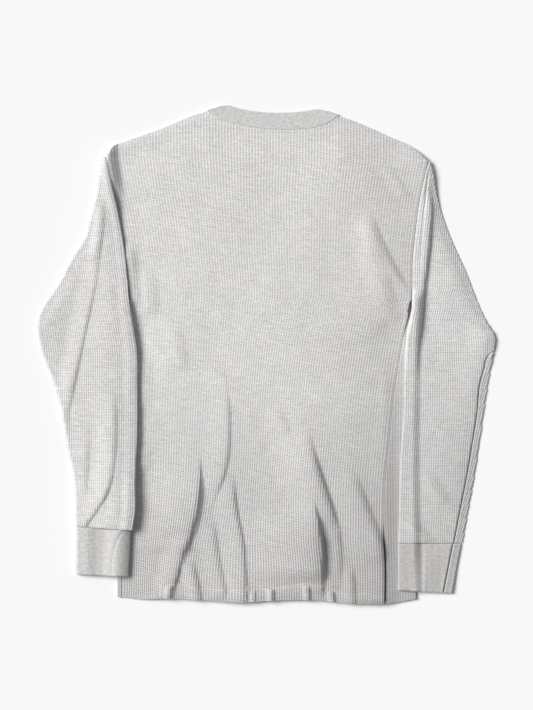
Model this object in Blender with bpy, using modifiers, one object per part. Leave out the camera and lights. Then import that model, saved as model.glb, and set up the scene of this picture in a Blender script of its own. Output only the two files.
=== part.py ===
"""Long-sleeved waffle-knit thermal top, laid flat on a surface with its back up.

Metres, +Z up. +X points to the wearer's right, +Y to the neck. The origin is at the middle of the
outline on the surface that the top lies on. All the tables below are in millimetres, about a zero that
lies MIDDLE short of that point.

Every piece is a cloth wall: sections across the garment, drawn through its mid-surface, are lofted into
a sheet or a flattened tube, and Solidify gives the sheet its thickness.
"""

import math

import bmesh
import bpy
import numpy as np

MM = 0.001
MIDDLE = np.array([-0.95, 0.75, 0.0])  # middle of the outline, in the tables' millimetres

# Driving sizes.
KNIT = 1.5  # wall of the waffle knit
RIB = 2.0  # wall of the doubled rib of cuffs and neckband
SEAM = 0.5  # clearance between two pieces at a seam
AIR = 1.05  # air between the front and the back panel
LAY = 0.8  # clearance under a sleeve that lies on the body
DRAPE = 11.0  # run over which a sleeve comes down from the body to the surface
BAND_WIDTH = 23.5  # neckband, seam to opening

# Levels of the mid-surfaces above the surface.
FRONT_LEVEL = KNIT / 2
BACK_LEVEL = FRONT_LEVEL + KNIT + AIR
BODY_TOP = BACK_LEVEL + KNIT / 2
SIDE_TURN = (BACK_LEVEL - FRONT_LEVEL) / 2  # radius of the fold down each side of the body
SHOULDER_LEVEL = FRONT_LEVEL + KNIT + 0.3  # the back panel comes down on the front one there
UNDERARM_ROOM = 14.0  # a sleeve lies on the body up to here above the end of the armhole seam
UNDERARM_RUN = 24.0  # and comes down beside it over at least this length
UNDERARM_TURN = 25.0  # the front panel turns from the back to the surface over this length

HEATHER_GREY = (0.62, 0.61, 0.60, 1.0)
RIB_GREY = (0.57, 0.56, 0.55, 1.0)


def table(names, rows):
    """A table of sizes: each name's column as an array."""
    return dict(zip(names.split(), np.array(rows, float).T))


# Side edges of the body from hem to underarm: where it folds over, and the side seams on the back.
LEFT_SIDE = table(
    "y edge seam",
    [
        (-345, -211, -204.5),
        (-206, -210, -203),
        (-64, -208, -201),
        (35, -205, -198),
        (90, -200, -194),
        (104, -199, -194),
    ],
)
RIGHT_SIDE = table(
    "y edge seam",
    [
        (-352, 213, 169),
        (-298, 211.5, 169.5),
        (-252, 210.5, 167),
        (-183, 209.5, 168),
        (-124, 209.5, 174),
        (-64, 210, 180),
        (-16, 211, 187),
        (30, 212.5, 195),
        (62, 214, 202),
        (82, 214, 205),
    ],
)
# Armhole seams from underarm to shoulder tip.
LEFT_ARMHOLE = table(
    "y x",
    [(90, -194), (122, -196.5), (159, -201.5), (204, -209.5), (245, -219), (279, -225)],
)
RIGHT_ARMHOLE = table(
    "y x",
    [(62, 204), (94, 206), (131, 206.5), (180, 211.5), (220, 217), (250, 223.5), (273.5, 228.5)],
)
# Hem of the back panel, and the two shoulders up to the neckband.
HEM = table(
    "x y",
    [
        (-205, -343),
        (-178, -346),
        (-137, -345),
        (-93, -347),
        (-35, -350.5),
        (8, -348),
        (62, -347),
        (133, -352.5),
        (169, -352),
        (213, -346),
    ],
)
LEFT_SHOULDER = table(
    "x y",
    [(-225, 280), (-218, 292), (-201, 300.5), (-175, 310), (-150, 319), (-133, 326), (-107, 337), (-83, 344.5)],
)
RIGHT_SHOULDER = table(
    "x y",
    [(102, 338), (122, 331), (147, 320.5), (172, 309), (198, 297.5), (213, 288), (223, 279), (228.5, 273.5)],
)
# Neckline of the back panel and the free edge of the neckband above it.
BACK_NECKLINE = table(
    "x y",
    [(-83, 344.5), (-60, 332), (-38, 325.5), (-15, 321), (15, 318.5), (51, 319), (75, 323), (92, 330), (102, 338)],
)
BAND_EDGE = table(
    "x y",
    [(-54, 352), (-40, 348), (-27, 346), (-6, 343), (18, 342), (44, 343), (58, 344.5), (75, 347)],
)
NECK_CENTRE = 10.0
FRONT_NECK_LOW = 255.0  # y of the front neckline at its lowest
FRONT_NECK_POWER = 2.6  # the front neckline is a rounded U

# The sleeves: outer edge, and inner edge from the underarm down, where it lies on the body.
LEFT_SLEEVE_OUTER = table(
    "y x",
    [
        (-243, -271),
        (-177, -273),
        (-121, -284),
        (-65, -294),
        (-36, -303),
        (9, -320),
        (30, -324),
        (48, -324.5),
        (58, -321),
        (105, -292),
        (134, -277),
        (165, -258),
        (198, -249),
        (227, -241),
        (250, -237),
        (274, -232.5),
        (280, -230.5),
    ],
)
LEFT_SLEEVE_INNER = table(
    "y x",
    [(-248, -189), (-225, -185.5), (-177, -185), (-121, -183), (-39, -182.5), (5, -183), (33, -187), (79, -193.5), (104, -195)],
)
RIGHT_SLEEVE_OUTER = table(
    "y x",
    [
        (-267, 278),
        (-226, 285),
        (-177, 294),
        (-110, 304),
        (-37, 315),
        (4, 322),
        (22, 324.5),
        (29, 323),
        (38, 317),
        (74, 300),
        (115, 284),
        (164, 262),
        (210, 246),
        (234, 240),
        (254, 236.8),
        (265, 234.5),
        (273.5, 231.5),
    ],
)
RIGHT_SLEEVE_INNER = table(
    "y x",
    [(-267, 187), (-201, 188.5), (-128, 191), (-93, 195), (-36, 197.5), (20, 200.5), (57, 203), (82, 206)],
)

# Rows of points from the hem to the shoulders, and spans of each row beside and along the neckline.
# Pieces that are sewn together share them, so that their edges follow each other.
ROWS = np.linspace(0, 1, 37)
BACK_SPANS = (13, 13, 14)
FRONT_SPANS = (10, 12, 12)

# Folds of the cloth. Each runs down the path of its steep side, through four points from top to bottom.
# `rise` and `fall` are the runs over which it comes up and goes down, `grow` is the share of its length
# that it takes to grow, and `keep` the share of the height that is left at the lower end.
FOLD = "x1 y1 x2 y2 x3 y3 x4 y4 height rise fall grow keep"
BODY_FOLDS = table(
    FOLD,
    [
        (-91, -136, -91, -200, -98.5, -235, -108.5, -266, 8.0, 80, 9, 0.5, 0.5),
        (-107, -258, -117, -285, -124, -310, -131, -336, 4.5, 30, 9, 0.2, 0.6),
        (-47, -164, -41, -220, -32, -265, -27, -338, 3.6, 36, 10, 0.25, 1.0),
        (-75, -220, -70, -262, -65, -293, -57, -334, 2.6, 24, 10, 0.4, 1.0),
        (57, -96, 72, -152, 88, -200, 104, -250, 6.8, 60, 9, 0.5, 0.4),
        (67, -198, 75, -241, 79, -270, 80.5, -328, 14.0, 120, 10, 0.5, 0.3),
        (118, -150, 140, -204, 157, -248, 168, -280, 4.0, 50, 11, 0.4, 0.6),
        (144, 212, 162, 165, 182, 124, 202, 90, 3.0, 26, 10, 0.4, 0.3),
        (-61, 0, -51, -88, -57, -165, -77, -216, 2.5, 36, 9, 0.6, 0.3),
    ],
)
LEFT_SLEEVE_FOLDS = table(
    FOLD,
    [
        (-229, 205, -239, 108, -257, 22, -279, -82, 3.0, 18, 8, 0.6, 0.5),
        (-213, -40, -213, -142, -219, -180, -228, -205, 2.6, 30, 8, 0.35, 0.6),
        (-214, -160, -220, -190, -230, -215, -245, -241, 3.2, 28, 9, 0.6, 1.0),
        (-250, -100, -251, -140, -252, -175, -254, -205, 2.0, 24, 8, 0.4, 0.0),
    ],
)
RIGHT_SLEEVE_FOLDS = table(
    FOLD,
    [
        (236, 262, 232, 162, 221, 91, 216, 35, 8.0, 130, 8, 0.4, 0.2),
        (234, -160, 242, -180, 251, -197, 263, -215, 2.0, 20, 14, 0.4, 0.0),
    ],
)
# The roll along a sleeve's inner edge: its height, the run over which it comes up and how far back it goes.
RIDGE = "y height run back"
LEFT_RIDGE = table(
    RIDGE,
    [
        (-250, 10.5, 9, 12),
        (-120, 5.4, 9, 12),
        (50, 6.0, 8, 12),
        (100, 3.2, 7, 9),
        (150, 3.2, 6, 8),
        (190, 5.0, 5, 8),
        (250, 4.0, 4, 8),
        (280, 3.0, 3, 5),
    ],
)
RIGHT_RIDGE = table(RIDGE, [(-270, 0.5, 5, 8), (272, 0.5, 5, 8)])
RIDGE_REACH = 80.0
NEAR_SHARE = 0.25
# How a sleeve's two layers come down beside the body: over what run below and above.
LEFT_SLOPES = (DRAPE, 85.0)
RIGHT_SLOPES = (DRAPE, DRAPE)
# Where the cloth stands a little off the surface, and how high.
DOME = 3.0
ARMHOLE_LIFT = 4.0
TIP, TIP_RADIUS, TIP_LIFT = (240.0, 262.0), 70.0, 7.0
LEFT_TIP, LEFT_TIP_RADIUS, LEFT_TIP_LIFT = (-236.0, 262.0), 95.0, 8.5


def through(at, xs, ys):
    """A smooth curve through a table's points, read at `at`."""
    slopes = np.gradient(ys, xs)
    i = np.clip(np.searchsorted(xs, at) - 1, 0, len(xs) - 2)
    span = xs[i + 1] - xs[i]
    t = np.clip((at - xs[i]) / span, 0, 1)
    rise = ys[i + 1] - ys[i]
    start = slopes[i] * span
    end = slopes[i + 1] * span
    return ys[i] + t * start + t * t * (3 * rise - 2 * start - end) + t**3 * (start + end - 2 * rise)


def smooth(t):
    """0 below 0, 1 above 1, and an S between."""
    t = np.clip(t, 0, 1)
    return t * t * (3 - 2 * t)


def mix(a, b, t):
    return a + (b - a) * t


def fold_heights(folds, x, y):
    """The height that the folds of a table add at each point. They die out soon past their paths' ends."""
    total = np.zeros(np.broadcast(x, y).shape)
    for n in range(len(folds["height"])):
        row = {name: column[n] for name, column in folds.items()}
        path_y = np.array([row["y4"], row["y3"], row["y2"], row["y1"]])
        path_x = np.array([row["x4"], row["x3"], row["x2"], row["x1"]])
        down = (row["y1"] - y) / (row["y1"] - row["y4"])
        along = smooth(down / row["grow"]) * mix(1, row["keep"], smooth((down - 0.8) / 0.2))
        along = along * (1 - smooth((down - 1) / 0.15))
        past = x - through(y, path_y, path_x) + row["fall"] / 2
        rising = smooth(1 + past / row["rise"])
        total = total + row["height"] * along * rising * (1 - smooth(past / row["fall"]))
    return total


def top_of_back(x):
    """y of the back panel's upper edge: left shoulder, neckline, right shoulder."""
    neck = through(x, BACK_NECKLINE["x"], BACK_NECKLINE["y"])
    left = through(x, LEFT_SHOULDER["x"], LEFT_SHOULDER["y"])
    right = through(x, RIGHT_SHOULDER["x"], RIGHT_SHOULDER["y"])
    return np.where(x < BACK_NECKLINE["x"][0], left, np.where(x > BACK_NECKLINE["x"][-1], right, neck))


def left_of_back(y):
    """x of the back panel's left edge: side seam, then armhole."""
    side = through(y, LEFT_SIDE["y"], LEFT_SIDE["seam"])
    return np.where(y < LEFT_ARMHOLE["y"][0], side, through(y, LEFT_ARMHOLE["y"], LEFT_ARMHOLE["x"]))


def right_of_back(y):
    """x of the back panel's right edge: side seam, then armhole."""
    side = through(y, RIGHT_SIDE["y"], RIGHT_SIDE["seam"])
    return np.where(y < RIGHT_ARMHOLE["y"][0], side, through(y, RIGHT_ARMHOLE["y"], RIGHT_ARMHOLE["x"]))


def tip_lift(x, y):
    """The stiff seams at a shoulder's tip hold it a little off the surface."""
    right = TIP_LIFT * smooth(1 - np.hypot(x - TIP[0], y - TIP[1]) / TIP_RADIUS)
    return right + LEFT_TIP_LIFT * smooth(1 - np.hypot(x - LEFT_TIP[0], y - LEFT_TIP[1]) / LEFT_TIP_RADIUS)


def armhole_lift(x, y):
    """How far the sleeve's seam holds up the panel along the right armhole."""
    inside = right_of_back(y) - x
    return ARMHOLE_LIFT * smooth(1 - inside / 120) * smooth((y - 40) / 40) * smooth((262 - y) / 60)


def back_height(x, y):
    """Level of the back panel. It comes down on the front panel along the shoulders."""
    from_top = top_of_back(x) - y
    on_shoulder = (x < BACK_NECKLINE["x"][0]) | (x > BACK_NECKLINE["x"][-1])
    level = mix(BACK_LEVEL, SHOULDER_LEVEL, smooth(1 - from_top / 8) * on_shoulder)
    inside = np.minimum(np.minimum(x - left_of_back(y), right_of_back(y) - x), from_top)
    domed = DOME * np.sin(math.pi * np.clip((inside - 24) / 180, 0, 0.5))
    return level + domed + fold_heights(BODY_FOLDS, x, y) + tip_lift(x, y) + armhole_lift(x, y)


def evenly(section, count, turn_weight):
    """`count` spans along a section, closer together where it bends: even in length plus turning.

    A turn of one radian counts as turn_weight mm of length.
    """
    steps = np.diff(section, axis=0)
    lengths = np.linalg.norm(steps, axis=1)
    units = steps / np.maximum(lengths, 1e-9)[:, None]
    turns = np.arccos(np.clip((units[1:] * units[:-1]).sum(1), -1, 1))
    turns = np.concatenate([[0], turns])
    measure = np.concatenate([[0], np.cumsum(lengths + turn_weight * turns)])
    wanted = np.linspace(0, measure[-1], count + 1)
    return np.stack([np.interp(wanted, measure, section[:, k]) for k in range(3)], axis=1)


def half_turn(x, y, z, outward, reach, rise, start=-90.0, end=90.0, count=12):
    """Points round the fold at the edge of a flattened tube, from angle `start` to `end` in degrees."""
    angle = np.radians(np.linspace(start, end, count))
    return np.stack(
        [x + outward * reach * np.cos(angle), np.full(count, float(y)), z + rise * np.sin(angle)], axis=1
    )


def cloth(name, rows, wall, colour, ring=False):
    """A wall of cloth through rows of points, as one named object. Points that meet are joined."""
    mesh = bpy.data.meshes.new(name)
    form = bmesh.new()
    grid = [[form.verts.new((point - MIDDLE) * MM) for point in row] for row in rows]
    spans = len(rows[0]) - (0 if ring else 1)
    for lower, upper in zip(grid[:-1], grid[1:]):
        for i in range(spans):
            j = (i + 1) % len(lower)
            form.faces.new((lower[i], lower[j], upper[j], upper[i]))
    bmesh.ops.remove_doubles(form, verts=form.verts, dist=0.02 * MM)
    bmesh.ops.triangulate(form, faces=form.faces, quad_method="SHORT_EDGE")
    bmesh.ops.recalc_face_normals(form, faces=form.faces)
    form.to_mesh(mesh)
    form.free()
    mesh.shade_smooth()
    piece = bpy.data.objects.new(name, mesh)
    GARMENT.objects.link(piece)
    thickness = piece.modifiers.new("Wall", "SOLIDIFY")
    thickness.thickness = wall * MM
    thickness.offset = 0
    thickness.use_quality_normals = True
    finish = bpy.data.materials.new(name)
    finish.use_nodes = True
    shader = finish.node_tree.nodes["Principled BSDF"]
    shader.inputs["Base Color"].default_value = colour
    shader.inputs["Roughness"].default_value = 0.9
    shader.inputs["Metallic"].default_value = 0.0
    mesh.materials.append(finish)
    return piece


def spans_of(section, stops, counts, turn_weight):
    """A section cut at the given places, with its own count of spans between each two of them."""
    row = []
    for count, start, end in zip(counts, stops[:-1], stops[1:]):
        group = evenly(section(np.linspace(start, end, 400)), count, turn_weight)
        row.extend(group if not row else group[1:])
    return np.array(row)


def neckline_stops(left_x, right_x):
    """Shares of the way from one shoulder tip to the other where the neckline begins and ends."""
    return [(x - left_x) / (right_x - left_x) for x in (BACK_NECKLINE["x"][0], BACK_NECKLINE["x"][-1])]


def back_rows():
    """Rows of the back panel, from hem to shoulders."""
    hem_left, hem_right = LEFT_SIDE["seam"][0], RIGHT_SIDE["seam"][0]
    tip_left, tip_right = LEFT_SHOULDER["x"][0], RIGHT_SHOULDER["x"][-1]

    def section(across, up):
        low = through(mix(hem_left, hem_right, across), HEM["x"], HEM["y"])
        y = mix(low, top_of_back(mix(tip_left, tip_right, across)), up)
        left_y = mix(through(hem_left, HEM["x"], HEM["y"]), LEFT_SHOULDER["y"][0], up)
        right_y = mix(through(hem_right, HEM["x"], HEM["y"]), RIGHT_SHOULDER["y"][-1], up)
        x = mix(left_of_back(left_y) + SEAM / 2, right_of_back(right_y) - SEAM / 2, across)
        return np.stack([x, y, back_height(x, y)], axis=1)

    stops = [0.0, *neckline_stops(tip_left, tip_right), 1.0]
    return [spans_of(lambda across, up=up: section(across, up), stops, BACK_SPANS, 12) for up in ROWS]


def front_neckline(share):
    """A point of the front neckline, for share -1 at the left shoulder to 1 at the right one."""
    tip_x = np.where(share < 0, BACK_NECKLINE["x"][0], BACK_NECKLINE["x"][-1])
    tip_y = np.where(share < 0, BACK_NECKLINE["y"][0], BACK_NECKLINE["y"][-1])
    x = mix(NECK_CENTRE, tip_x, np.abs(share))
    return x, mix(FRONT_NECK_LOW, tip_y, np.abs(share) ** FRONT_NECK_POWER)


def top_of_front(x):
    """y of the front panel's upper edge: the back panel's shoulders, but a deeper neckline."""
    tip_x = np.where(x < NECK_CENTRE, BACK_NECKLINE["x"][0], BACK_NECKLINE["x"][-1])
    share = np.sign(x - NECK_CENTRE) * (x - NECK_CENTRE) / (tip_x - NECK_CENTRE)
    inside = np.abs(share) < 1
    return np.where(inside, front_neckline(share)[1], top_of_back(x))


def front_end(side, hole, top_y, inward, up):
    """One end of a section of the front panel: where it turns up, and the cloth's length past that."""
    seam_y = mix(through(side["seam"][0], HEM["x"], HEM["y"]), top_y, up)
    wrapped_x = through(seam_y, side["y"], side["edge"]) + inward * (KNIT / 2 + SIDE_TURN)
    on_back = inward * (through(seam_y, side["y"], side["seam"]) - wrapped_x) - SEAM / 2
    open_x = through(seam_y, hole["y"], hole["x"]) + inward * SEAM / 2
    above = smooth((seam_y - hole["y"][0]) / UNDERARM_TURN)
    return mix(wrapped_x, open_x, above), (on_back + math.pi * SIDE_TURN) * (1 - above) ** 2


def front_rows():
    """Rows of the front panel. It lies on the surface and wraps round both sides to the seams on the back."""
    rows = []
    for up in ROWS:
        left_x, left_past = front_end(LEFT_SIDE, LEFT_ARMHOLE, LEFT_SHOULDER["y"][0], 1, up)
        right_x, right_past = front_end(RIGHT_SIDE, RIGHT_ARMHOLE, RIGHT_SHOULDER["y"][-1], -1, up)
        neck = [mix(left_x, right_x, stop) for stop in neckline_stops(LEFT_SHOULDER["x"][0], RIGHT_SHOULDER["x"][-1])]
        stops = [left_x - left_past, *neck, right_x + right_past]
        ends = (left_x, left_past, right_x, right_past)
        rows.append(spans_of(lambda cloth_x: front_section(cloth_x, ends, up), stops, FRONT_SPANS, 40))
    return rows


def front_section(cloth_x, ends, up):
    """A section of the front panel: flat on the surface, with each end turned up onto the back."""
    left_x, left_past, right_x, right_past = ends
    past = np.maximum(np.maximum(left_x - cloth_x, cloth_x - right_x), 0)
    on_left = cloth_x < (left_x + right_x) / 2
    inward = np.where(on_left, 1, -1)
    turned = np.minimum(past / SIDE_TURN, math.pi)
    on_back = np.maximum(past - math.pi * SIDE_TURN, 0)
    flat_x = np.clip(cloth_x, left_x, right_x)
    x = flat_x + inward * (on_back - SIDE_TURN * np.sin(turned))
    z = FRONT_LEVEL + SIDE_TURN * (1 - np.cos(turned))
    across = (flat_x - left_x) / (right_x - left_x)
    folded = on_back / np.maximum(np.where(on_left, left_past, right_past) - math.pi * SIDE_TURN, 1)
    seam_x = np.where(on_left, LEFT_SIDE["seam"][0], RIGHT_SIDE["seam"][0])
    hem_x = mix(mix(LEFT_SIDE["edge"][0], RIGHT_SIDE["edge"][0], across), seam_x, folded)
    top_x = mix(LEFT_SHOULDER["x"][0], RIGHT_SHOULDER["x"][-1], across)
    y = mix(through(hem_x, HEM["x"], HEM["y"]), top_of_front(top_x), up)
    return np.stack([x, y, z + tip_lift(x, y)], axis=1)


def sleeve_lift(x, y, side, sign, beside_y, run):
    """How far a sleeve is up on the body: 0 down on the surface, 1 on the body. It comes down over `run`.

    Above beside_y the sleeve lies beside the body, where it is sewn in, and not on it.
    """
    outside = sign * (through(y, side["y"], side["edge"]) - x)
    away = np.where(y > beside_y, np.hypot(np.maximum(outside, 0), y - beside_y), outside)
    return smooth((run - away) / (run + 1))


def flat_tube(inner, outer, lower, upper, opened, wall, count):
    """A section of a flattened tube: over the upper layer, round the outer edge and back below.

    inner and outer are the (x, y) of its two edges; lower and upper give the layers' levels at (x, y).
    An opened section stays open at its inner edge, where it is sewn to the body.
    """
    dense = 120
    outward = 1 if outer[0] > inner[0] else -1
    reach = min(1.3, abs(outer[0] - inner[0]) / 4)
    start = inner[0] + outward * (SEAM if opened else wall / 2 + reach)
    end = outer[0] - outward * (wall / 2 + reach)
    x = np.linspace(start, end, dense)
    y = mix(inner[1], outer[1], np.linspace(0, 1, dense))
    top, bottom = upper(x, y), lower(x, y)
    over = np.stack([x, y, top], axis=1)
    under = np.stack([x, y, bottom], axis=1)[::-1]
    middle, rise = (top + bottom) / 2, (top - bottom) / 2
    outer_fold = half_turn(x[-1], y[-1], middle[-1], outward, reach, rise[-1], 90, -90)
    if opened:
        return evenly(np.concatenate([over, outer_fold[1:-1], under]), count, 5)
    up_to_top = half_turn(x[0], y[0], middle[0], -outward, reach, rise[0], 0, 90)
    back_up = half_turn(x[0], y[0], middle[0], -outward, reach, rise[0], -90, 0)
    return evenly(np.concatenate([up_to_top[:-1], over, outer_fold[1:-1], under, back_up[1:]]), count, 5)


def sleeve_rows(side, armhole, inner, outer, folds, ridge, slopes, row_count=16, count=26):
    """Rows of a sleeve from shoulder tip to cuff. Above the underarm they are open towards the body."""
    sign = 1 if inner["x"][0] < 0 else -1
    close_y = armhole["y"][0] + UNDERARM_ROOM

    def lower(x, y):
        on_body = BODY_TOP + LAY + KNIT / 2
        return mix(FRONT_LEVEL, on_body, sleeve_lift(x, y, side, sign, close_y, slopes[0])) + tip_lift(x, y)

    def upper(x, y):
        edge_x = np.where(
            y < close_y, through(y, inner["y"], inner["x"]), through(y, armhole["y"], armhole["x"])
        )
        inside = sign * (edge_x - x)
        width = sign * (edge_x - through(y, outer["y"], outer["x"]))
        puff = 1.5 * np.sin(math.pi * np.clip(inside / np.maximum(width, 1), 0, 1))
        height, run, back = (through(y, ridge["y"], ridge[name]) for name in ("height", "run", "back"))
        far = np.clip(0.8 * width - run, 1, RIDGE_REACH)
        fading = mix(smooth((inside - run) / far), smooth((inside - run) / back), NEAR_SHARE)
        roll = height * smooth((inside - 0.7) / 5) * (1 - fading) * smooth(width / 10)
        outer_edge = smooth((width - inside - 1) / 14)
        sewn = smooth((y - close_y) / UNDERARM_RUN) * (sign < 0)
        folded = fold_heights(folds, x, y) * np.maximum(smooth((inside - 0.5) / 3), sewn)
        above, below = (sleeve_lift(x, y, side, sign, close_y, slope) for slope in slopes[::-1])
        sloping = (above - below) * (BODY_TOP + LAY)
        return lower(x, y) + KNIT + AIR + puff * smooth(width / 60) + roll + (folded + sloping) * outer_edge

    rows = []
    top_y = armhole["y"][-1]
    beside_body = mix(through(side["seam"][0], HEM["x"], HEM["y"]), top_y, ROWS)[::-1]
    beside_body = beside_body[beside_body > close_y + UNDERARM_RUN]
    heights = [*beside_body, *np.linspace(close_y, inner["y"][0], row_count)]
    for y in heights:
        opened = y > close_y
        down = (top_y - y) / (top_y - inner["y"][0])
        outer_y = y + (outer["y"][0] - inner["y"][0]) * down**4
        inner_x = through(y, armhole["y"], armhole["x"]) if opened else through(y, inner["y"], inner["x"])
        ends = ((inner_x, y), (through(outer_y, outer["y"], outer["x"]), outer_y))
        rows.append(flat_tube(*ends, lower, upper, opened, KNIT, count))
    return rows


def cuff_rows(side, top, bottom, ridge, slopes, count=22, row_count=5):
    """Rows of a cuff, from the sleeve to its open end. top and bottom are its inner and outer corners.

    ridge is how high the roll along its inner edge is, over what run it comes up and how far back it goes.
    """
    height, run, back = ridge
    sign = 1 if top[0][0] < 0 else -1

    def lower(x, y):
        on_body = BODY_TOP + LAY + RIB / 2
        return mix(RIB / 2, on_body, sleeve_lift(x, y, side, sign, top[0][1], slopes[0]))

    def upper(x, y):
        down = (top[0][1] - y) / (top[0][1] - bottom[0][1])
        inside = sign * (mix(top[0][0], bottom[0][0], down) - x)
        outer_edge = smooth((sign * (x - mix(top[1][0], bottom[1][0], down)) - 1) / 12)
        roll = height * smooth(inside / run) * (1 - smooth((inside - run) / back))
        above, below = (sleeve_lift(x, y, side, sign, top[0][1], slope) for slope in slopes[::-1])
        return lower(x, y) + RIB + 0.8 + roll + (above - below) * (BODY_TOP + LAY) * outer_edge

    rows = []
    for down in np.linspace(0, 1, row_count + 1):
        inner = [mix(top[0][k], bottom[0][k], down) for k in (0, 1)]
        outer = [mix(top[1][k], bottom[1][k], down) for k in (0, 1)]
        rows.append(flat_tube(inner, outer, lower, upper, False, RIB, count))
    return rows


def band_rows(back_neck, front_neck, columns=4, turn_count=4):
    """Rows of the neckband, a ring folded flat at the two ends of the shoulders."""
    low = RIB / 2
    high = BACK_LEVEL + 0.3
    edge_x = np.linspace(BAND_EDGE["x"][0], BAND_EDGE["x"][-1], len(back_neck))
    edge_y = through(edge_x, BAND_EDGE["x"], BAND_EDGE["y"])
    stations = [((*p[:2], high), (x, y, high)) for p, x, y in zip(back_neck, edge_x, edge_y)]
    left_end, right_end = stations[0], stations[-1]
    stations += turn_stations(right_end, (high - low) / 2, 1, turn_count)
    for point in front_neck[::-1]:
        tip, corner = (right_end[1], right_end[0]) if point[0] > NECK_CENTRE else (left_end[1], left_end[0])
        share = (point[0] - NECK_CENTRE) / (corner[0] - NECK_CENTRE)
        middle_y = FRONT_NECK_LOW + BAND_WIDTH
        inner_x = mix(NECK_CENTRE, tip[0], share)
        inner_y = mix(middle_y, tip[1], share**FRONT_NECK_POWER)
        stations.append(((*point[:2], low), (inner_x, inner_y, low)))
    stations += turn_stations(left_end, (high - low) / 2, -1, turn_count)[::-1]
    rows = []
    for seam_point, free_point in stations:
        seam_point, free_point = np.array(seam_point), np.array(free_point)
        start = SEAM / np.linalg.norm(free_point - seam_point)
        rows.append([mix(seam_point, free_point, mix(start, 1, k / columns)) for k in range(columns + 1)])
    return [np.array(row) for row in zip(*rows)]


def turn_stations(end, turn, side, count):
    """Stations round the fold of the neckband at one end of a shoulder, from the upper layer down."""
    seam_point, free_point = (np.array(p, float) for p in end)
    along = (free_point - seam_point) / np.linalg.norm(free_point - seam_point)
    out = np.array([along[1], -along[0], 0]) * side
    stations = []
    for angle in np.linspace(0, math.pi, count + 2)[1:-1]:
        shift = out * turn * math.sin(angle) + np.array([0, 0, turn * (math.cos(angle) - 1)])
        stations.append((seam_point + shift, free_point + shift))
    return stations


for leftover in list(bpy.data.objects):
    bpy.data.objects.remove(leftover)
GARMENT = bpy.data.collections.new("thermal_top")
bpy.context.scene.collection.children.link(GARMENT)

back, front = back_rows(), front_rows()
cloth("back_panel", back, KNIT, HEATHER_GREY)
cloth("front_panel", front, KNIT, HEATHER_GREY)
cloth(
    "sleeve_left",
    sleeve_rows(LEFT_SIDE, LEFT_ARMHOLE, LEFT_SLEEVE_INNER, LEFT_SLEEVE_OUTER, LEFT_SLEEVE_FOLDS, LEFT_RIDGE, LEFT_SLOPES),
    KNIT,
    HEATHER_GREY,
)
cloth(
    "sleeve_right",
    sleeve_rows(RIGHT_SIDE, RIGHT_ARMHOLE, RIGHT_SLEEVE_INNER, RIGHT_SLEEVE_OUTER, RIGHT_SLEEVE_FOLDS, RIGHT_RIDGE, RIGHT_SLOPES),
    KNIT,
    HEATHER_GREY,
)
cloth(
    "cuff_left",
    cuff_rows(LEFT_SIDE, ((-191, -248.5), (-269.5, -243.5)), ((-194.5, -313.5), (-270, -311)), (6.0, 16, 24), LEFT_SLOPES),
    RIB,
    RIB_GREY,
)
cloth(
    "cuff_right",
    cuff_rows(RIGHT_SIDE, ((187, -267.5), (276.5, -267.5)), ((186, -333), (263, -338)), (0.3, 5, 10), RIGHT_SLOPES),
    RIB,
    RIB_GREY,
)
back_neck, front_neck = (
    rows[-1][spans[0] : spans[0] + spans[1] + 1] for rows, spans in ((back, BACK_SPANS), (front, FRONT_SPANS))
)
cloth("neckband", band_rows(back_neck, front_neck), RIB, RIB_GREY, ring=True)
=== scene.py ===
# %% [markdown]
# # A waffle-knit thermal top, laid flat
#
# The top lies on a pale surface with its back up: two panels on each other, two sleeves swung down so
# that they lie partly on the body, two rib cuffs and a rib neckband. Each cut-and-sewn piece is a solid
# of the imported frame. Here each solid is replaced by a finer shell on the same form: the folds are the
# same ones with small creases added, and the knit's waffle is real relief.
#
# Sizes of cloth are in millimetres, about the zero that the garment's tables use. `MIDDLE` is the middle
# of its outline there, which is the frame's origin. Left and right are as seen from above.

# %% The frame
import math

import bpy
import numpy as np
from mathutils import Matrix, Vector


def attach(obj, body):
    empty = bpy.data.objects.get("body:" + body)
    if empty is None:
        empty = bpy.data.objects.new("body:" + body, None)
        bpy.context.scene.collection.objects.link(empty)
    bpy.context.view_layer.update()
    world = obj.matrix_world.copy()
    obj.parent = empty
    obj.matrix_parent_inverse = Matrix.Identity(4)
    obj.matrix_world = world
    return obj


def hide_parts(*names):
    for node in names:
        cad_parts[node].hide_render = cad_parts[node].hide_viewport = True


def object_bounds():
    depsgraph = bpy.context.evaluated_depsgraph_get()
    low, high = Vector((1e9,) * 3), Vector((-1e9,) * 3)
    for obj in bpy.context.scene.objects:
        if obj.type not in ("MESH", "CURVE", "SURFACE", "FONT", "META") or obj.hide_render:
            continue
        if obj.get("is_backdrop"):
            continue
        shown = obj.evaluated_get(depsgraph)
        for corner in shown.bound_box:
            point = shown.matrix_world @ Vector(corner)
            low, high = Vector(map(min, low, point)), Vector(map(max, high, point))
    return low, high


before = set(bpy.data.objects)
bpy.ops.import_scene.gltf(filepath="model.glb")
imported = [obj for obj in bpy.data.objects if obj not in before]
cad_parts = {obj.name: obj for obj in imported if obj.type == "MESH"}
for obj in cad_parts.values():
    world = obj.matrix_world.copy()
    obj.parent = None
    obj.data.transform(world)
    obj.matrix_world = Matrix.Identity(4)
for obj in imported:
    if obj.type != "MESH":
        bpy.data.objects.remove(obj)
cad_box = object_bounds()
print("frame nodes:", sorted(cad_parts))

MM = 0.001
MIDDLE = np.array([-0.95, 0.75, 0.0])

# %% [markdown]
# ## Sizes of the cloth
#
# A waffle knit is thick and airy, so its wall is 1.5 mm. Cuffs and neckband are a fine rib that is folded
# double. The levels below are those of the middle of each wall above the surface: the front panel lies
# on it, the back panel on the front one, and the sleeves partly on both.

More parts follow.
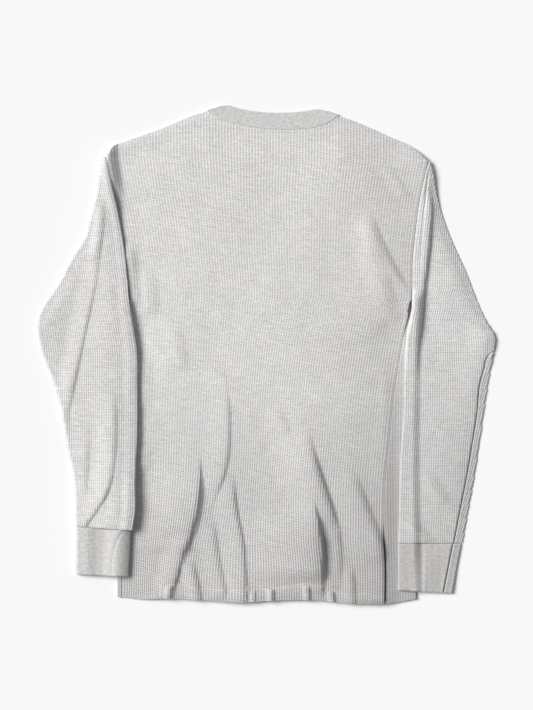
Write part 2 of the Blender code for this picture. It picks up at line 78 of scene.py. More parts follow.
# %% Walls and levels
KNIT = 1.5
RIB = 2.0
SEAM = 0.5
AIR = 1.05
LAY = 0.8
DRAPE = 11.0
BAND_WIDTH = 23.5
FRONT_LEVEL = KNIT / 2
BACK_LEVEL = FRONT_LEVEL + KNIT + AIR
BODY_TOP = BACK_LEVEL + KNIT / 2
SIDE_TURN = (BACK_LEVEL - FRONT_LEVEL) / 2
SHOULDER_LEVEL = FRONT_LEVEL + KNIT + 0.3
UNDERARM_ROOM = 14.0
UNDERARM_RUN = 20.0
UNDERARM_TURN = 25.0
print("the body's upper side lies", BODY_TOP, "mm up")


# %% Tables of sizes
def table(names, rows):
    """A table of sizes: each name's column as an array."""
    return dict(zip(names.split(), np.array(rows, float).T))


LEFT_SIDE = table("y edge seam", [
    (-345, -211, -204.5), (-206, -210, -203), (-64, -208, -201), (35, -205, -198), (90, -200, -194),
    (104, -199, -194),
])
RIGHT_SIDE = table("y edge seam", [
    (-352, 213, 169), (-298, 211.5, 169.5), (-252, 210.5, 167), (-183, 209.5, 168), (-124, 209.5, 174),
    (-64, 210, 180), (-16, 211, 187), (30, 212.5, 195), (62, 214, 202), (82, 214, 205),
])
LEFT_ARMHOLE = table("y x", [
    (90, -194), (122, -196.5), (159, -201.5), (204, -209.5), (245, -219), (279, -225),
])
RIGHT_ARMHOLE = table("y x", [
    (62, 204), (94, 206), (131, 206.5), (180, 211.5), (220, 217), (250, 223.5), (273.5, 228.5),
])
HEM = table("x y", [
    (-205, -343), (-178, -346), (-137, -345), (-93, -347), (-35, -350.5), (8, -348), (62, -347),
    (133, -352.5), (169, -352), (213, -346),
])
LEFT_SHOULDER = table("x y", [
    (-225, 280), (-218, 292), (-201, 300.5), (-175, 310), (-150, 319), (-133, 326), (-107, 337),
    (-83, 344.5),
])
RIGHT_SHOULDER = table("x y", [
    (102, 338), (122, 331), (147, 320.5), (172, 309), (198, 297.5), (213, 288), (223, 279),
    (228.5, 273.5),
])
BACK_NECKLINE = table("x y", [
    (-83, 344.5), (-60, 332), (-38, 325.5), (-15, 321), (15, 318.5), (51, 319), (75, 323), (92, 330),
    (102, 338),
])
BAND_EDGE = table("x y", [
    (-61, 351.0), (-56, 352.3), (-51, 352.0), (-45, 350.0), (-38, 348), (-27, 346), (-6, 343),
    (18, 342), (44, 343), (58, 344.8), (67, 346.5), (73, 347.0), (79, 346.2), (86, 343.8),
])
NECK_LEFT, NECK_RIGHT = BACK_NECKLINE["x"][[0, -1]]
NECK_CENTRE = 10.0
FRONT_NECK_LOW = 255.0
FRONT_NECK_POWER = 2.6
LEFT_SLEEVE_OUTER = table("y x", [
    (-243, -271), (-177, -273), (-121, -284), (-65, -294), (-36, -303), (9, -320), (30, -324),
    (48, -324.5), (58, -321), (105, -292), (134, -277), (165, -258), (198, -249), (227, -241),
    (250, -237), (274, -232.5), (280, -230.5),
])
LEFT_SLEEVE_INNER = table("y x", [
    (-248, -188.5), (-225, -185), (-177, -184.3), (-121, -182.2), (-39, -181.8), (5, -182.2),
    (33, -186.2), (79, -193.5), (104, -195),
])
RIGHT_SLEEVE_OUTER = table("y x", [
    (-267, 278), (-226, 285), (-177, 294), (-110, 304), (-37, 315), (4, 322), (22, 324.5), (29, 323),
    (38, 317), (74, 300), (115, 284), (164, 262), (210, 246), (234, 240), (254, 236.8), (265, 234.5),
    (273.5, 231.5),
])
RIGHT_SLEEVE_INNER = table("y x", [
    (-267, 187), (-201, 188.5), (-128, 191), (-93, 194), (-36, 195.2), (14, 197), (34, 199.5),
    (57, 204), (82, 206),
])
print("tables for the outline: the body, two sleeves and the neck")

# %% [markdown]
# ## Folds
#
# Cloth that lies flat still shows where it was handled: soft ridges fan out from the hem, and each sleeve
# keeps long creases from shoulder to cuff. They could be simulated, but then they would fall where the
# solver likes. Here each is given as a table row: the path of its steep side through four
# points, how high it stands, over what run it rises and falls, what share of its length it takes to
# grow, and what share of the height is left at its lower end.

# %% Fold tables
FOLD = "x1 y1 x2 y2 x3 y3 x4 y4 height rise fall grow keep"
BODY_FOLDS = table(FOLD, [
    (-93, -136, -93.5, -200, -100, -235, -108.5, -266, 8.0, 80, 4.5, 0.5, 0.6),
    (-105.5, -250, -117, -285, -124, -310, -131, -336, 4.5, 30, 5, 0.35, 0.6),
    (-47, -164, -41, -220, -32, -265, -27, -338, 3.6, 36, 6, 0.25, 1.0),
    (-75, -220, -70, -262, -65, -293, -57, -334, 2.6, 24, 7, 0.4, 1.0),
    (57, -96, 72, -152, 88, -200, 104, -250, 6.8, 60, 9, 0.5, 0.4),
    (103, -246, 106, -270, 106.5, -295, 105.5, -325, 2.5, 30, 8, 0.3, 0.6),
    (67, -198, 75, -241, 79, -270, 80.5, -328, 14.0, 120, 5, 0.5, 0.3),
    (118, -150, 140, -204, 157, -248, 168, -280, 4.0, 50, 11, 0.4, 0.6),
    (160, -225, 166, -255, 169, -295, 171, -345, 4.0, 55, 10, 0.4, 1.0),
    (144, 212, 162, 165, 182, 124, 202, 90, 3.0, 26, 10, 0.4, 0.3),
    (145, 196, 158, 150, 172, 105, 186, 58, 2.5, 30, 16, 0.3, 0.4),
    (-61, 0, -51, -88, -57, -165, -77, -216, 2.5, 36, 6, 0.6, 0.3),
    (-104, -285, -100, -305, -96, -322, -92, -345, 3.0, 18, 7, 0.4, 1.0),
    (122, -296, 124, -312, 125, -325, 126, -350, 3.0, 20, 7, 0.4, 1.0),
    (18, -70, 24, -85, 30, -98, 36, -112, 1.2, 20, 9, 0.4, 0.0),
    (-126, 54, -121, 28, -115, 0, -109, -28, 1.3, 30, 14, 0.5, 0.0),
    (-189, 165, -186, 135, -183, 100, -179, 62, 4.0, 4, 16, 0.3, 0.0),
    (-159, 128, -158, 100, -156, 80, -155, 50, 2.4, 24, 18, 0.4, 0.0),
    (-165, 10, -165, -20, -164, -50, -163, -82, 1.6, 24, 14, 0.4, 0.0),
    (-166, -126, -165, -138, -164, -150, -163, -165, 1.6, 20, 12, 0.4, 0.0),
    (168, 274, 182, 256, 196, 236, 209, 215, 1.5, 20, 10, 0.4, 0.2),
    (-132, -324, -133, -330, -134, -338, -135, -358, 3.0, 8, 4, 0.2, 1.0),
    (-16, -331, -15, -336, -15, -342, -15, -358, 1.8, 7, 4, 0.2, 1.0),
    (10, -329, 11, -335, 11, -342, 11, -358, 3.2, 7, 4, 0.2, 1.0),
    (60, -324, 61, -331, 62, -340, 62, -358, 3.0, 7, 4, 0.2, 1.0),
    (95, -333, 96, -339, 97, -345, 97, -358, 3.0, 7, 4, 0.2, 1.0),
])
LEFT_SLEEVE_FOLDS = table(FOLD, [
    (-229, 205, -239, 108, -257, 22, -279, -82, 2.2, 24, 5, 0.6, 0.5),
    (-256, 22, -263, -15, -271, -45, -279, -85, 1.3, 22, 11, 0.7, 0.8),
    (-229, 236, -229, 212, -230, 185, -237, 130, 2.6, 12, 8, 0.4, 0.3),
    (-236, 190, -262, 110, -285, 50, -300, -10, 1.0, 30, 35, 0.3, 0.0),
    (-213, -40, -213, -142, -219, -180, -228, -205, 2.6, 30, 7, 0.35, 0.6),
    (-214, -160, -221, -190, -235, -215, -253, -241, 2.8, 60, 6, 0.6, 1.0),
    (-250, -100, -251, -140, -252, -175, -254, -205, 2.0, 24, 8, 0.4, 0.0),
])
RIGHT_SLEEVE_FOLDS = table(FOLD, [
    (236, 262, 231.5, 162, 222.5, 80, 214.5, 0, 6.8, 130, 4.5, 0.35, 0.35),
    (234, -160, 242, -180, 251, -197, 263, -215, 2.0, 20, 14, 0.4, 0.0),
    (211, -232, 219, -244, 227, -254, 236, -262, 2.0, 20, 14, 0.4, 0.8),
])
LEFT_CUFF_FOLDS = table(FOLD, [
    (-244, -238, -244, -262, -244, -286, -244, -316, 2.2, 24, 12, 0.1, 0.8),
])
RIGHT_CUFF_FOLDS = table(FOLD, [
    (240, -262, 240, -285, 239, -310, 238, -345, 3.0, 20, 22, 0.8, 1.0),
])
SHOULDER, SHOULDER_DROP = 0.7, 0.15
KEEP_FROM, END_RUN = 0.8, 0.15
# Height, length across, length along and phase of each long wave.
SWELLS = [(0.35, 31, 63, 0.4), (0.3, 23, -47, 2.1), (0.2, 57, 29, 4.0)]
SWELL_MEAN = 0.85


# %% Curves and blends
def through(at, xs, ys):
    """A smooth curve through points, read at `at`."""
    slopes = np.gradient(ys, xs)
    i = np.clip(np.searchsorted(xs, at) - 1, 0, len(xs) - 2)
    span = xs[i + 1] - xs[i]
    t = np.clip((at - xs[i]) / span, 0, 1)
    rise = ys[i + 1] - ys[i]
    start = slopes[i] * span
    end = slopes[i + 1] * span
    return ys[i] + t * start + t * t * (3 * rise - 2 * start - end) + t**3 * (start + end - 2 * rise)


def curve(sizes, at, name=None):
    """A smooth curve over a table's first column, through its last column or the one that is named."""
    columns = list(sizes)
    return through(at, sizes[columns[0]], sizes[name or columns[-1]])


def smooth(t):
    """0 below 0, 1 above 1, and an S between."""
    t = np.clip(t, 0, 1)
    return t * t * (3 - 2 * t)


def up_from(value, start, run):
    """0 up to `start`, 1 from `run` past it on, and an S between."""
    return smooth((value - start) / run)


def down_to(value, end, run):
    """1 until `run` before `end`, 0 from `end` on, and an S between."""
    return smooth((end - value) / run)


def mix(a, b, t):
    """a where t is 0, b where t is 1."""
    return a + (b - a) * t


def paths(rows, x, y):
    """Each row of a table of paths, what share of its length y is down the path, and x past the path."""
    for values in zip(*rows.values()):
        row = dict(zip(rows, values))
        path_y, path_x = (np.array([row[f"{axis}{n}"] for n in (4, 3, 2, 1)]) for axis in "yx")
        yield row, (row["y1"] - y) / (row["y1"] - row["y4"]), x - through(y, path_y, path_x)


def fold_heights(folds, x, y):
    """The height that the folds of a table add at each point.

    A fold rises in an S to its crest, comes down a little over its shoulder, then falls steeply. It dies
    out soon past its path's end.
    """
    total = np.zeros(np.broadcast(x, y).shape)
    for row, down, beside in paths(folds, x, y):
        along = smooth(down / row["grow"]) * mix(1, row["keep"], up_from(down, KEEP_FROM, 0.2))
        along = along * (1 - up_from(down, 1, END_RUN))
        past = beside + row["fall"] / 2
        shoulder = SHOULDER * row["height"]
        rising = smooth(1 + (past + shoulder) / row["rise"])
        lowered = 1 - SHOULDER_DROP * np.clip(1 + past / shoulder, 0, 1) ** 2
        total = total + row["height"] * along * rising * lowered * (1 - smooth(past / row["fall"]))
    return total


def swell(x, y):
    """Slow unevenness of cloth that was smoothed out by hand: a few long waves, never below 0."""
    waves = (height * np.sin(x / across + y / along + phase) for height, across, along, phase in SWELLS)
    return sum(waves) + SWELL_MEAN


print("the highest fold of the body stands", BODY_FOLDS["height"].max(), "mm high")

# %% [markdown]
# ## Shells
#
# The outer side of each piece needs two points for each cell of the waffle, both ways, so that ribs, bars
# and pockets are real relief. The inner side that nobody sees doesn't: it gets a coarse grid, and the rim
# of the cloth joins the two. A slanting edge cuts through the knit's columns and courses: past the cut
# all the grid's points share the place where it was cut, and the faces without an area are dropped.


# %% Helpers for grids
# A column that would lie nearer than this share of a step to an edge gives way to it.
NEAR_EDGE = 0.3


def stacked(*parts):
    """Arrays that broadcast to one shape, side by side along a new last axis."""
    return np.stack(np.broadcast_arrays(*parts), axis=-1)


def grid_normals(points):
    """Unit normals of a grid of points, rows by columns."""
    along = np.gradient(points, axis=0)
    across = np.gradient(points, axis=1)
    normals = np.cross(across, along)
    return normals / np.maximum(np.linalg.norm(normals, axis=2, keepdims=True), 1e-9)


def lengths_along(section):
    """How far along a section each of its points lies."""
    return np.concatenate([[0], np.cumsum(np.linalg.norm(np.diff(section, axis=0), axis=1))])


def point_at(section, at):
    """Points of a section at the given lengths along it."""
    lengths = lengths_along(section)
    return stacked(*(np.interp(at, lengths, part) for part in section.T))


def coarse(last):
    """Every STRIDE-th index from 0 to last, with both ends."""
    return np.append(np.arange(0, last - STRIDE // 2, STRIDE), last)


def quads(ids, flip):
    """The faces of a grid of vertex numbers. Those that a cut leaves without an area are dropped."""
    faces = stacked(ids[:-1, :-1], ids[:-1, 1:], ids[1:, 1:], ids[1:, :-1]).reshape(-1, 4)
    faces = [list(dict.fromkeys(face)) for face in (faces[:, ::-1] if flip else faces).tolist()]
    return [face for face in faces if len(face) > 2]


def rim(chain, below, stops, flip):
    """Faces that join a fine edge to a coarse one: one for each span of the coarse edge."""
    faces = []
    for k in range(len(stops) - 1):
        upper = chain[stops[k] : stops[k + 1] + 1].tolist()
        face = list(dict.fromkeys(upper + [int(below[k + 1]), int(below[k])]))
        if len(face) > 2:
            faces.append(face[::-1] if flip else face)
    return faces


# %% The shell
STRIDE = 6
FOLDED_RELIEF = 0.3


def add_object(name, data):
    """A new object in the scene."""
    made = bpy.data.objects.new(name, data)
    bpy.context.scene.collection.objects.link(made)
    return made


def shell(name, middle, wall, relief, cells, same, outside):
    """A closed thin shell about a grid of middle points, with a fine outer side.

    relief is added to the outer side. cells are the knit's own coordinates, which the finish reads.
    same gives the vertex of each grid point. outside is 1 or -1: on which side of the grid the outer
    side lies.
    """
    rows, columns = middle.shape[:2]
    normals = grid_normals(middle) * outside
    # Where the knit turns round a fold it is stretched, and its relief is less.
    relief = relief * mix(FOLDED_RELIEF, 1, np.abs(normals[..., 2]))
    outer = (middle + normals * (wall / 2 + relief)[..., None]).reshape(-1, 3)
    j, i = coarse(rows - 1), coarse(columns - 1)
    used, inner_ids = np.unique(same[np.ix_(j, i)], return_inverse=True)
    inner_ids = inner_ids.reshape(len(j), len(i)) + len(outer)
    inner = (middle - normals * wall / 2).reshape(-1, 3)[used]
    flip = outside < 0
    faces = quads(same, flip) + quads(inner_ids, not flip)
    faces += rim(same[0, :], inner_ids[0, :], i, not flip)
    faces += rim(same[:, -1], inner_ids[:, -1], j, not flip)
    faces += rim(same[-1, :], inner_ids[-1, :], i, flip)
    faces += rim(same[:, 0], inner_ids[:, 0], j, flip)
    # Only the points that a face uses are kept.
    points = (np.concatenate([outer, inner]) - MIDDLE) * MM
    cell_of = np.concatenate([cells.reshape(-1, 2), cells.reshape(-1, 2)[used]])
    kept = np.unique(np.concatenate([np.array(face) for face in faces]))
    number = np.zeros(len(points), int)
    number[kept] = np.arange(len(kept))
    mesh = bpy.data.meshes.new(name)
    mesh.from_pydata(points[kept].tolist(), [], [number[face].tolist() for face in faces])
    attribute = mesh.attributes.new("cell", "FLOAT_VECTOR", "POINT")
    attribute.data.foreach_set("vector", np.pad(cell_of[kept], ((0, 0), (0, 1))).astype(np.float32).ravel())
    mesh.shade_flat()
    along = np.diff(middle, axis=0)[:, :-1]
    across = np.diff(middle, axis=1)[:-1, :]
    area = np.linalg.norm(np.cross(along, across), axis=2).sum() * MM * MM
    triangles = sum(len(face) - 2 for face in faces)
    print(f"{name}: {triangles} triangles, {area:.4f} square metres of cloth")
    return add_object(name, mesh)


# %% Relief of the knits
BODY_DEPTH, BODY_BARS = 0.42, 0.35
HEM_DEPTH = 0.42
SLEEVE_DEPTH, SLEEVE_BARS = 0.5, 0.45
RIB_DEPTH = 0.15
SEAM_REACH = 2.5


def waffle(u, v, edge, depth, bars):
    """Relief of a waffle knit at half-cell points: ribs highest, bars lower, pockets deepest.

    bars is how much of the depth the bars lie below the ribs. edge is the distance to the nearest edge
    in mm. The relief fades there, where the seam flattens it.
    """
    on_rib = np.round(2 * u) % 2 == 0
    on_bar = np.round(2 * v) % 2 == 0
    return np.where(on_rib, 0, np.where(on_bar, bars, 1)) * -depth * np.clip(edge / SEAM_REACH, 0, 1)


def fine_rib(column):
    """Relief of a fine rib: every second column of points lies lower."""
    return np.where(column % 2 == 0, 0, -RIB_DEPTH)


def rolled_edge(edge, reach, drop):
    """How far an edge curls down: drop at the edge itself, nothing at reach from it."""
    near = np.clip(1 - edge / reach, 0, 1)
    return -drop * (1 - np.sqrt(1 - near**2))


# %% [markdown]
# ## The back panel
#
# The panel that shows. Its columns of ribs run from hem to shoulders and squeeze a little where the body
# is narrower. Its courses slant, as they do in cloth knitted on a round machine, so the hem and the
# shoulder seams cut through them.

# %% Edges of the back panel
CELLS_ACROSS = 107
COURSE = 3.9
BODY_COURSE = 3.77
SKEW = 0.157
DOME, DOME_FROM, DOME_RUN = 3.0, 24, 180
SHOULDER_RUN = 8
HEM_SEAM = table("x y", [
    (-154, -319), (-140, -324.5), (-120, -325.2), (-107, -328.8), (-92, -331), (-58, -332.3),
    (-18, -331), (13, -329.5), (58, -323.8), (89, -331), (105, -337), (146, -338.2), (163, -341),
])
LEFT_HEM_SEAM = -150.0
HOLE_Y, HOLE_LENGTH, HOLE_WIDTH, SLEEVE_HOLE = 67.0, 12.0, 4.0, 0.8
SIDE_GAP = 2.2
HEM_DROP, HEM_RUN = 1.2, 6
HEM_TURN, HEM_GROOVE, GROOVE_WIDTH = 0.6, 0.7, 1.3
ARMHOLE_LIFT, ARMHOLE_REACH = 6.0, 120
LEFT_SEAM_LIFT, LEFT_SEAM_REACH = 10.0, 18
SEAM_RISE = 2.8
TIP, TIP_RADIUS, TIP_LIFT = (240.0, 262.0), 70.0, 5.0
print("ribs across the back panel:", CELLS_ACROSS)


def top_of_back(x):
    """y of the back panel's upper edge: left shoulder, neckline, right shoulder."""
    left, neck, right = (curve(part, x) for part in (LEFT_SHOULDER, BACK_NECKLINE, RIGHT_SHOULDER))
    return np.where(x < NECK_LEFT, left, np.where(x > NECK_RIGHT, right, neck))


def edge_of_back(y, side, armhole):
    """x of the back panel's edge on one side: side seam, then armhole."""
    return np.where(y < armhole["y"][0], curve(side, y, "seam"), curve(armhole, y))


def left_of_back(y):
    """x of the panel's left edge."""
    return edge_of_back(y, LEFT_SIDE, LEFT_ARMHOLE)


def right_of_back(y):
    """x of the panel's right edge."""
    return edge_of_back(y, RIGHT_SIDE, RIGHT_ARMHOLE)


def back_height(x, y):
    """Level of the back panel. It comes down on the front panel along the shoulders."""
    from_top = top_of_back(x) - y
    on_shoulder = (x < NECK_LEFT) | (x > NECK_RIGHT)
    level = mix(BACK_LEVEL, SHOULDER_LEVEL, smooth(1 - from_top / SHOULDER_RUN) * on_shoulder)
    level = level - HEM_DROP * smooth(1 - (y - curve(HEM, x)) / HEM_RUN)
    inside = np.minimum(np.minimum(x - left_of_back(y), right_of_back(y) - x), from_top)
    domed = DOME * np.sin(math.pi * np.clip((inside - DOME_FROM) / DOME_RUN, 0, 0.5))
    rolled = fold_heights(BODY_FOLDS, x, y) + hem_relief(x, y) + tip_lift(x, y)
    rolled = rolled + armhole_lift(x, y) + seam_rise(x, y) + left_seam_lift(x, y)
    return level + rolled + domed + swell(x, y) * up_from(inside, 4, 60)


def hem_seam(x):
    """y of the hem's seam. Left of the first fold it runs close to the edge."""
    return np.where(x < LEFT_HEM_SEAM, curve(HEM, x) + 5, curve(HEM_SEAM, x))


def hem_relief(x, y):
    """The turned-up hem is twice as thick, and its seam draws a groove."""
    above = y - hem_seam(x)
    return HEM_TURN * smooth(-above / 3) - HEM_GROOVE * np.exp(-((above / GROOVE_WIDTH) ** 2))


def tip_lift(x, y):
    """The stiff seams at the right shoulder's tip hold it a little off the surface."""
    return TIP_LIFT * smooth(1 - np.hypot(x - TIP[0], y - TIP[1]) / TIP_RADIUS)


def armhole_lift(x, y):
    """How far the sleeve's seam holds up the panel along the right armhole."""
    near = smooth(1 - (right_of_back(y) - x) / ARMHOLE_REACH)
    return ARMHOLE_LIFT * near * up_from(y, 10, 80) * down_to(y, 262, 90)


def left_seam_lift(x, y):
    """Near the left shoulder's tip the panel is drawn up to the sleeve's seam and falls away from it."""
    near = smooth(1 - (x - left_of_back(y)) / LEFT_SEAM_REACH)
    return LEFT_SEAM_LIFT * near * up_from(y, 210, 45)


def seam_rise(x, y):
    """The strip that wraps round from the front rises a little towards the side seam, the back with it."""
    from_edge = curve(RIGHT_SIDE, y, "edge") - x
    return SEAM_RISE * up_from(from_edge, 22, 25) * down_to(from_edge, 130, 80) * down_to(y, 20, 80)


def armhole_hole(y):
    """How far the seam at the right underarm stands open, as a share of the hole's width."""
    return smooth(1 - np.abs(y - HOLE_Y) / HOLE_LENGTH)


# %% The back panel
MARGIN = 40
HALF_WIDTH = 205
# How far the columns of ribs wander, bend and fan out.
WANDER, BEND, FAN = 0.6, 5, -14


def back_grid():
    """Middle points of the back panel, their cells, distances to the edge, and shared vertices."""
    columns = 2 * CELLS_ACROSS + 1
    column = np.arange(columns)[None, :]
    share = column / (columns - 1)
    low_y = HEM["y"].min() - MARGIN
    last = int((BACK_NECKLINE["y"].max() + MARGIN - low_y) / BODY_COURSE * 2)
    row = np.arange(last + 1)[:, None]
    y = low_y + row * BODY_COURSE / 2 - SKEW * mix(-HALF_WIDTH, HALF_WIDTH, share)
    left = left_of_back(np.clip(y, HEM["y"].min(), LEFT_SHOULDER["y"][0])) + SEAM / 2
    right = right_of_back(np.clip(y, HEM["y"].min(), RIGHT_SHOULDER["y"][-1])) - SEAM / 2
    right = right - HOLE_WIDTH * armhole_hole(y) - SIDE_GAP * down_to(y, -230, 40)
    wander = WANDER * np.sin(y / 37 + 1.3 * np.sin(column / 31)) * np.sin(math.pi * share)
    bend = BEND * np.sin(2 * math.pi * share) * down_to(y, 180, 260) * up_from(y, -340, 150)
    fan = FAN * np.sin(math.pi * np.clip(share / 0.6, 0, 1)) ** 2 * down_to(y, -150, 190)
    x = mix(left, right, share) + wander + bend + fan
    low, high = curve(HEM, x), top_of_back(x)
    start = np.maximum(np.argmax(y > low + BODY_COURSE / 8, axis=0) - 1, 0)[None, :]
    ended = (y >= high - BODY_COURSE / 8) | (row == last)
    end = np.argmax(ended & (row > start), axis=0)[None, :]
    shared = np.clip(row, start, end)
    x = np.take_along_axis(x, shared, 0)
    y = np.take_along_axis(y, shared, 0)
    y = np.where(shared == start, curve(HEM, x), np.where(shared == end, top_of_back(x), y))
    from_hem, from_top = y - curve(HEM, x), top_of_back(x) - y
    edge = np.minimum(np.minimum(x - left, right - x), np.minimum(from_hem, from_top))
    middle = stacked(x, y, back_height(x, y))
    cells = stacked(column / 2, row / 2)
    return middle, cells, edge, shared * columns + column


middle, cells, edge, same = back_grid()
depth = BODY_DEPTH + HEM_DEPTH * down_to(middle[..., 1], -60, 200)
relief = waffle(cells[..., 0], cells[..., 1], edge, depth, BODY_BARS) + rolled_edge(edge, 2.0, 0.4)
back = shell("back_panel_knit", middle, KNIT, relief, cells, same, 1)

# %% [markdown]
# ## The hem's stitches
#
# One row of thread holds the turned-up hem. Each stitch is a short spindle of thread that sinks into the
# knit at both ends, so a loop lays them end to end on the panel along the seam.

# %% The hem's stitches
STITCH, STITCH_GAP, THREAD = 2.9, 0.5, 1.1


def spindles(name, path, length, gap, width):
    """Short spindles end to end along a path of points, as one mesh."""
    places = np.arange(0, lengths_along(path)[-1] - length, length + gap)
    ring = np.radians(np.arange(0, 360, 60))
    points, faces = [], []
    for at in places:
        first, start, end, last = point_at(path, at + length * np.array([0, 0.25, 0.75, 1]))
        along = (last - first) / np.linalg.norm(last - first)
        side = np.cross([0, 0, 1], along)
        around = np.cos(ring)[:, None] * side + np.sin(ring)[:, None] * np.cross(along, side)
        base = len(points)
        points += [first, *(start + around * width / 2), *(end + around * width / 2), last]
        for k in range(6):
            a, b = base + 1 + k, base + 1 + (k + 1) % 6
            faces += [[base, b, a], [a, b, b + 6, a + 6], [base + 13, a + 6, b + 6]]
    mesh = bpy.data.meshes.new(name)
    mesh.from_pydata(((np.array(points) - MIDDLE) * MM).tolist(), [], faces)
    return add_object(name, mesh), len(places)


def hem_line(low, high):
    """The line of the hem's seam on the panel's outer side, from one x to another."""
    x = np.linspace(low, high, 300)
    y = hem_seam(x)
    return stacked(x, y, back_height(x, y) + KNIT / 2 + THREAD / 4)


stitches, count = spindles("hem_stitches", hem_line(-149, 162), STITCH, STITCH_GAP, THREAD)
low_stitches, low_count = spindles("hem_stitches_left", hem_line(-200, -151), STITCH, STITCH_GAP, THREAD)
print("stitches along the hem:", count + low_count)

# %% [markdown]
# ## The front panel
#
# It lies underneath, and both its sides wrap round onto the back, so that the side seams show there. It
# is made as one sheet that turns up at both ends: a flat stretch, half a turn, and a strip that comes
# back over itself.

# %% The front panel
UNDERARM_START = 12.0
FRONT_COURSES = 162
WRAP_PITCH = 3.7


def front_neckline(share):
    """A point of the front neckline, for share -1 at the left shoulder to 1 at the right one."""
    tip_x, tip_y = (np.where(share < 0, side[0], side[-1]) for side in BACK_NECKLINE.values())
    x = mix(NECK_CENTRE, tip_x, np.abs(share))
    return x, mix(FRONT_NECK_LOW, tip_y, np.abs(share) ** FRONT_NECK_POWER)


def top_of_front(x):
    """y of the front panel's upper edge: the back panel's shoulders, but a deeper neckline."""
    tip_x = np.where(x < NECK_CENTRE, NECK_LEFT, NECK_RIGHT)
    share = np.sign(x - NECK_CENTRE) * (x - NECK_CENTRE) / (tip_x - NECK_CENTRE)
    inside = np.abs(share) < 1
    return np.where(inside, front_neckline(share)[1], top_of_back(x))


def front_end(side, hole, top_y, inward, up):
    """One end of a section of the front panel: where it turns up, and the cloth's length past that."""
    seam_y = mix(curve(HEM, side["seam"][0]), top_y, up)
    wrapped_x = curve(side, seam_y, "edge") + inward * (KNIT / 2 + SIDE_TURN)
    on_back = inward * (curve(side, seam_y, "seam") - wrapped_x) - SEAM / 2
    open_x = curve(hole, seam_y) + inward * SEAM / 2
    above = smooth((seam_y - hole["y"][0] + UNDERARM_START) / UNDERARM_TURN)
    return mix(wrapped_x, open_x, above), (on_back + math.pi * SIDE_TURN) * (1 - above) ** 2


def front_grid():
    """Middle points of the front panel. Its columns are counted from the fold down each side."""
    up = np.linspace(0, 1, 2 * FRONT_COURSES + 1)[:, None]
    left_x, left_past = front_end(LEFT_SIDE, LEFT_ARMHOLE, LEFT_SHOULDER["y"][0], 1, up)
    right_x, right_past = front_end(RIGHT_SIDE, RIGHT_ARMHOLE, RIGHT_SHOULDER["y"][-1], -1, up)
    step = WRAP_PITCH / 2
    flat = 2 * CELLS_ACROSS
    column = np.arange(-int(left_past.max() / step) - 1, flat + int(right_past.max() / step) + 2)[None, :]
    on_flat = mix(left_x, right_x, np.clip(column, 0, flat) / flat)
    cloth_x = on_flat + step * (np.minimum(column, 0) + np.maximum(column - flat, 0))
    low = -np.floor(left_past / step + (1 - NEAR_EDGE))
    high = flat + np.floor(right_past / step + (1 - NEAR_EDGE))
    cloth_x = np.where(column >= high, right_x + right_past, cloth_x)
    cloth_x = np.where(column <= low, left_x - left_past, cloth_x)
    shared = np.clip(column, low, high).astype(int) - column[0, 0]
    row = np.arange(len(up))[:, None]
    same = row * column.size + shared
    past = np.maximum(np.maximum(left_x - cloth_x, cloth_x - right_x), 0)
    on_left = cloth_x < (left_x + right_x) / 2
    inward = np.where(on_left, 1, -1)
    turned = np.minimum(past / SIDE_TURN, math.pi)
    on_back = np.maximum(past - math.pi * SIDE_TURN, 0)
    flat_x = np.clip(cloth_x, left_x, right_x)
    x = flat_x + inward * (on_back - SIDE_TURN * np.sin(turned))
    across = (flat_x - left_x) / (right_x - left_x)
    folded = on_back / np.maximum(np.where(on_left, left_past, right_past) - math.pi * SIDE_TURN, 1)
    seam_x = np.where(on_left, LEFT_SIDE["seam"][0], RIGHT_SIDE["seam"][0])
    hem_x = mix(mix(LEFT_SIDE["edge"][0], RIGHT_SIDE["edge"][0], across), seam_x, folded)
    top_x = mix(LEFT_SHOULDER["x"][0], RIGHT_SHOULDER["x"][-1], across)
    bottom, top = curve(HEM, hem_x), top_of_front(top_x)
    y = mix(bottom, top, up)
    z = FRONT_LEVEL + SIDE_TURN * (1 - np.cos(turned)) + tip_lift(x, y)
    z = z + np.where((on_back > 0) & ~on_left, seam_rise(x, y), 0)
    edge = np.minimum(np.minimum(cloth_x - left_x + left_past, right_x + right_past - cloth_x), top - y)
    return stacked(x, y, z), stacked(column / 2, row / 2), edge, same


middle, cells, edge, same = front_grid()
relief = waffle(cells[..., 0], cells[..., 1], edge, BODY_DEPTH, BODY_BARS) + rolled_edge(edge, 2.5, 0.6)
front = shell("front_panel_knit", middle, KNIT, relief, cells, same, -1)

# %% [markdown]
# ## The sleeves
#
# Each sleeve is a flattened tube that was swung down from the shoulder, so its inner edge rolls up into a
# ridge along the body. A section across it runs over the upper layer, round the outer edge and back
# below. Above the underarm it stays open towards the body, where it is sewn in. The ribs run level with
# the inner edge, and the underarm seam cuts off the ones that the narrowing sleeve has no room for.

# %% Sleeve tables
SLEEVE_PITCH = 3.15
RIDGE = "y height run back"
LEFT_RIDGE = table(RIDGE, [
    (-250, 9.5, 9, 12), (-220, 10.0, 9, 12), (-120, 4.8, 9, 12), (0, 5.4, 9, 12), (50, 5.6, 8, 12),
    (100, 3.2, 7, 9), (150, 3.2, 6, 8), (190, 5.0, 5, 8), (250, 4.0, 4, 8), (280, 3.0, 3, 5),
])
RIGHT_RIDGE = table(RIDGE, [
    (-270, 0.5, 4, 8), (0, 0.5, 5, 10), (90, 0.5, 6, 12), (272, 0.5, 5, 8),
])
RIGHT_UNDERARM_SEAM = table("y inset", [
    (-268, 12), (-177, 10.5), (-90, 9), (-25, 9.5), (4, 0), (25, -45), (76, -140),
])
SEAM_SLIT = 1.8
RIDGE_REACH = 80.0
NEAR_SHARE = 0.25
THIN = -0.9  # the two walls press into each other at the outer fold
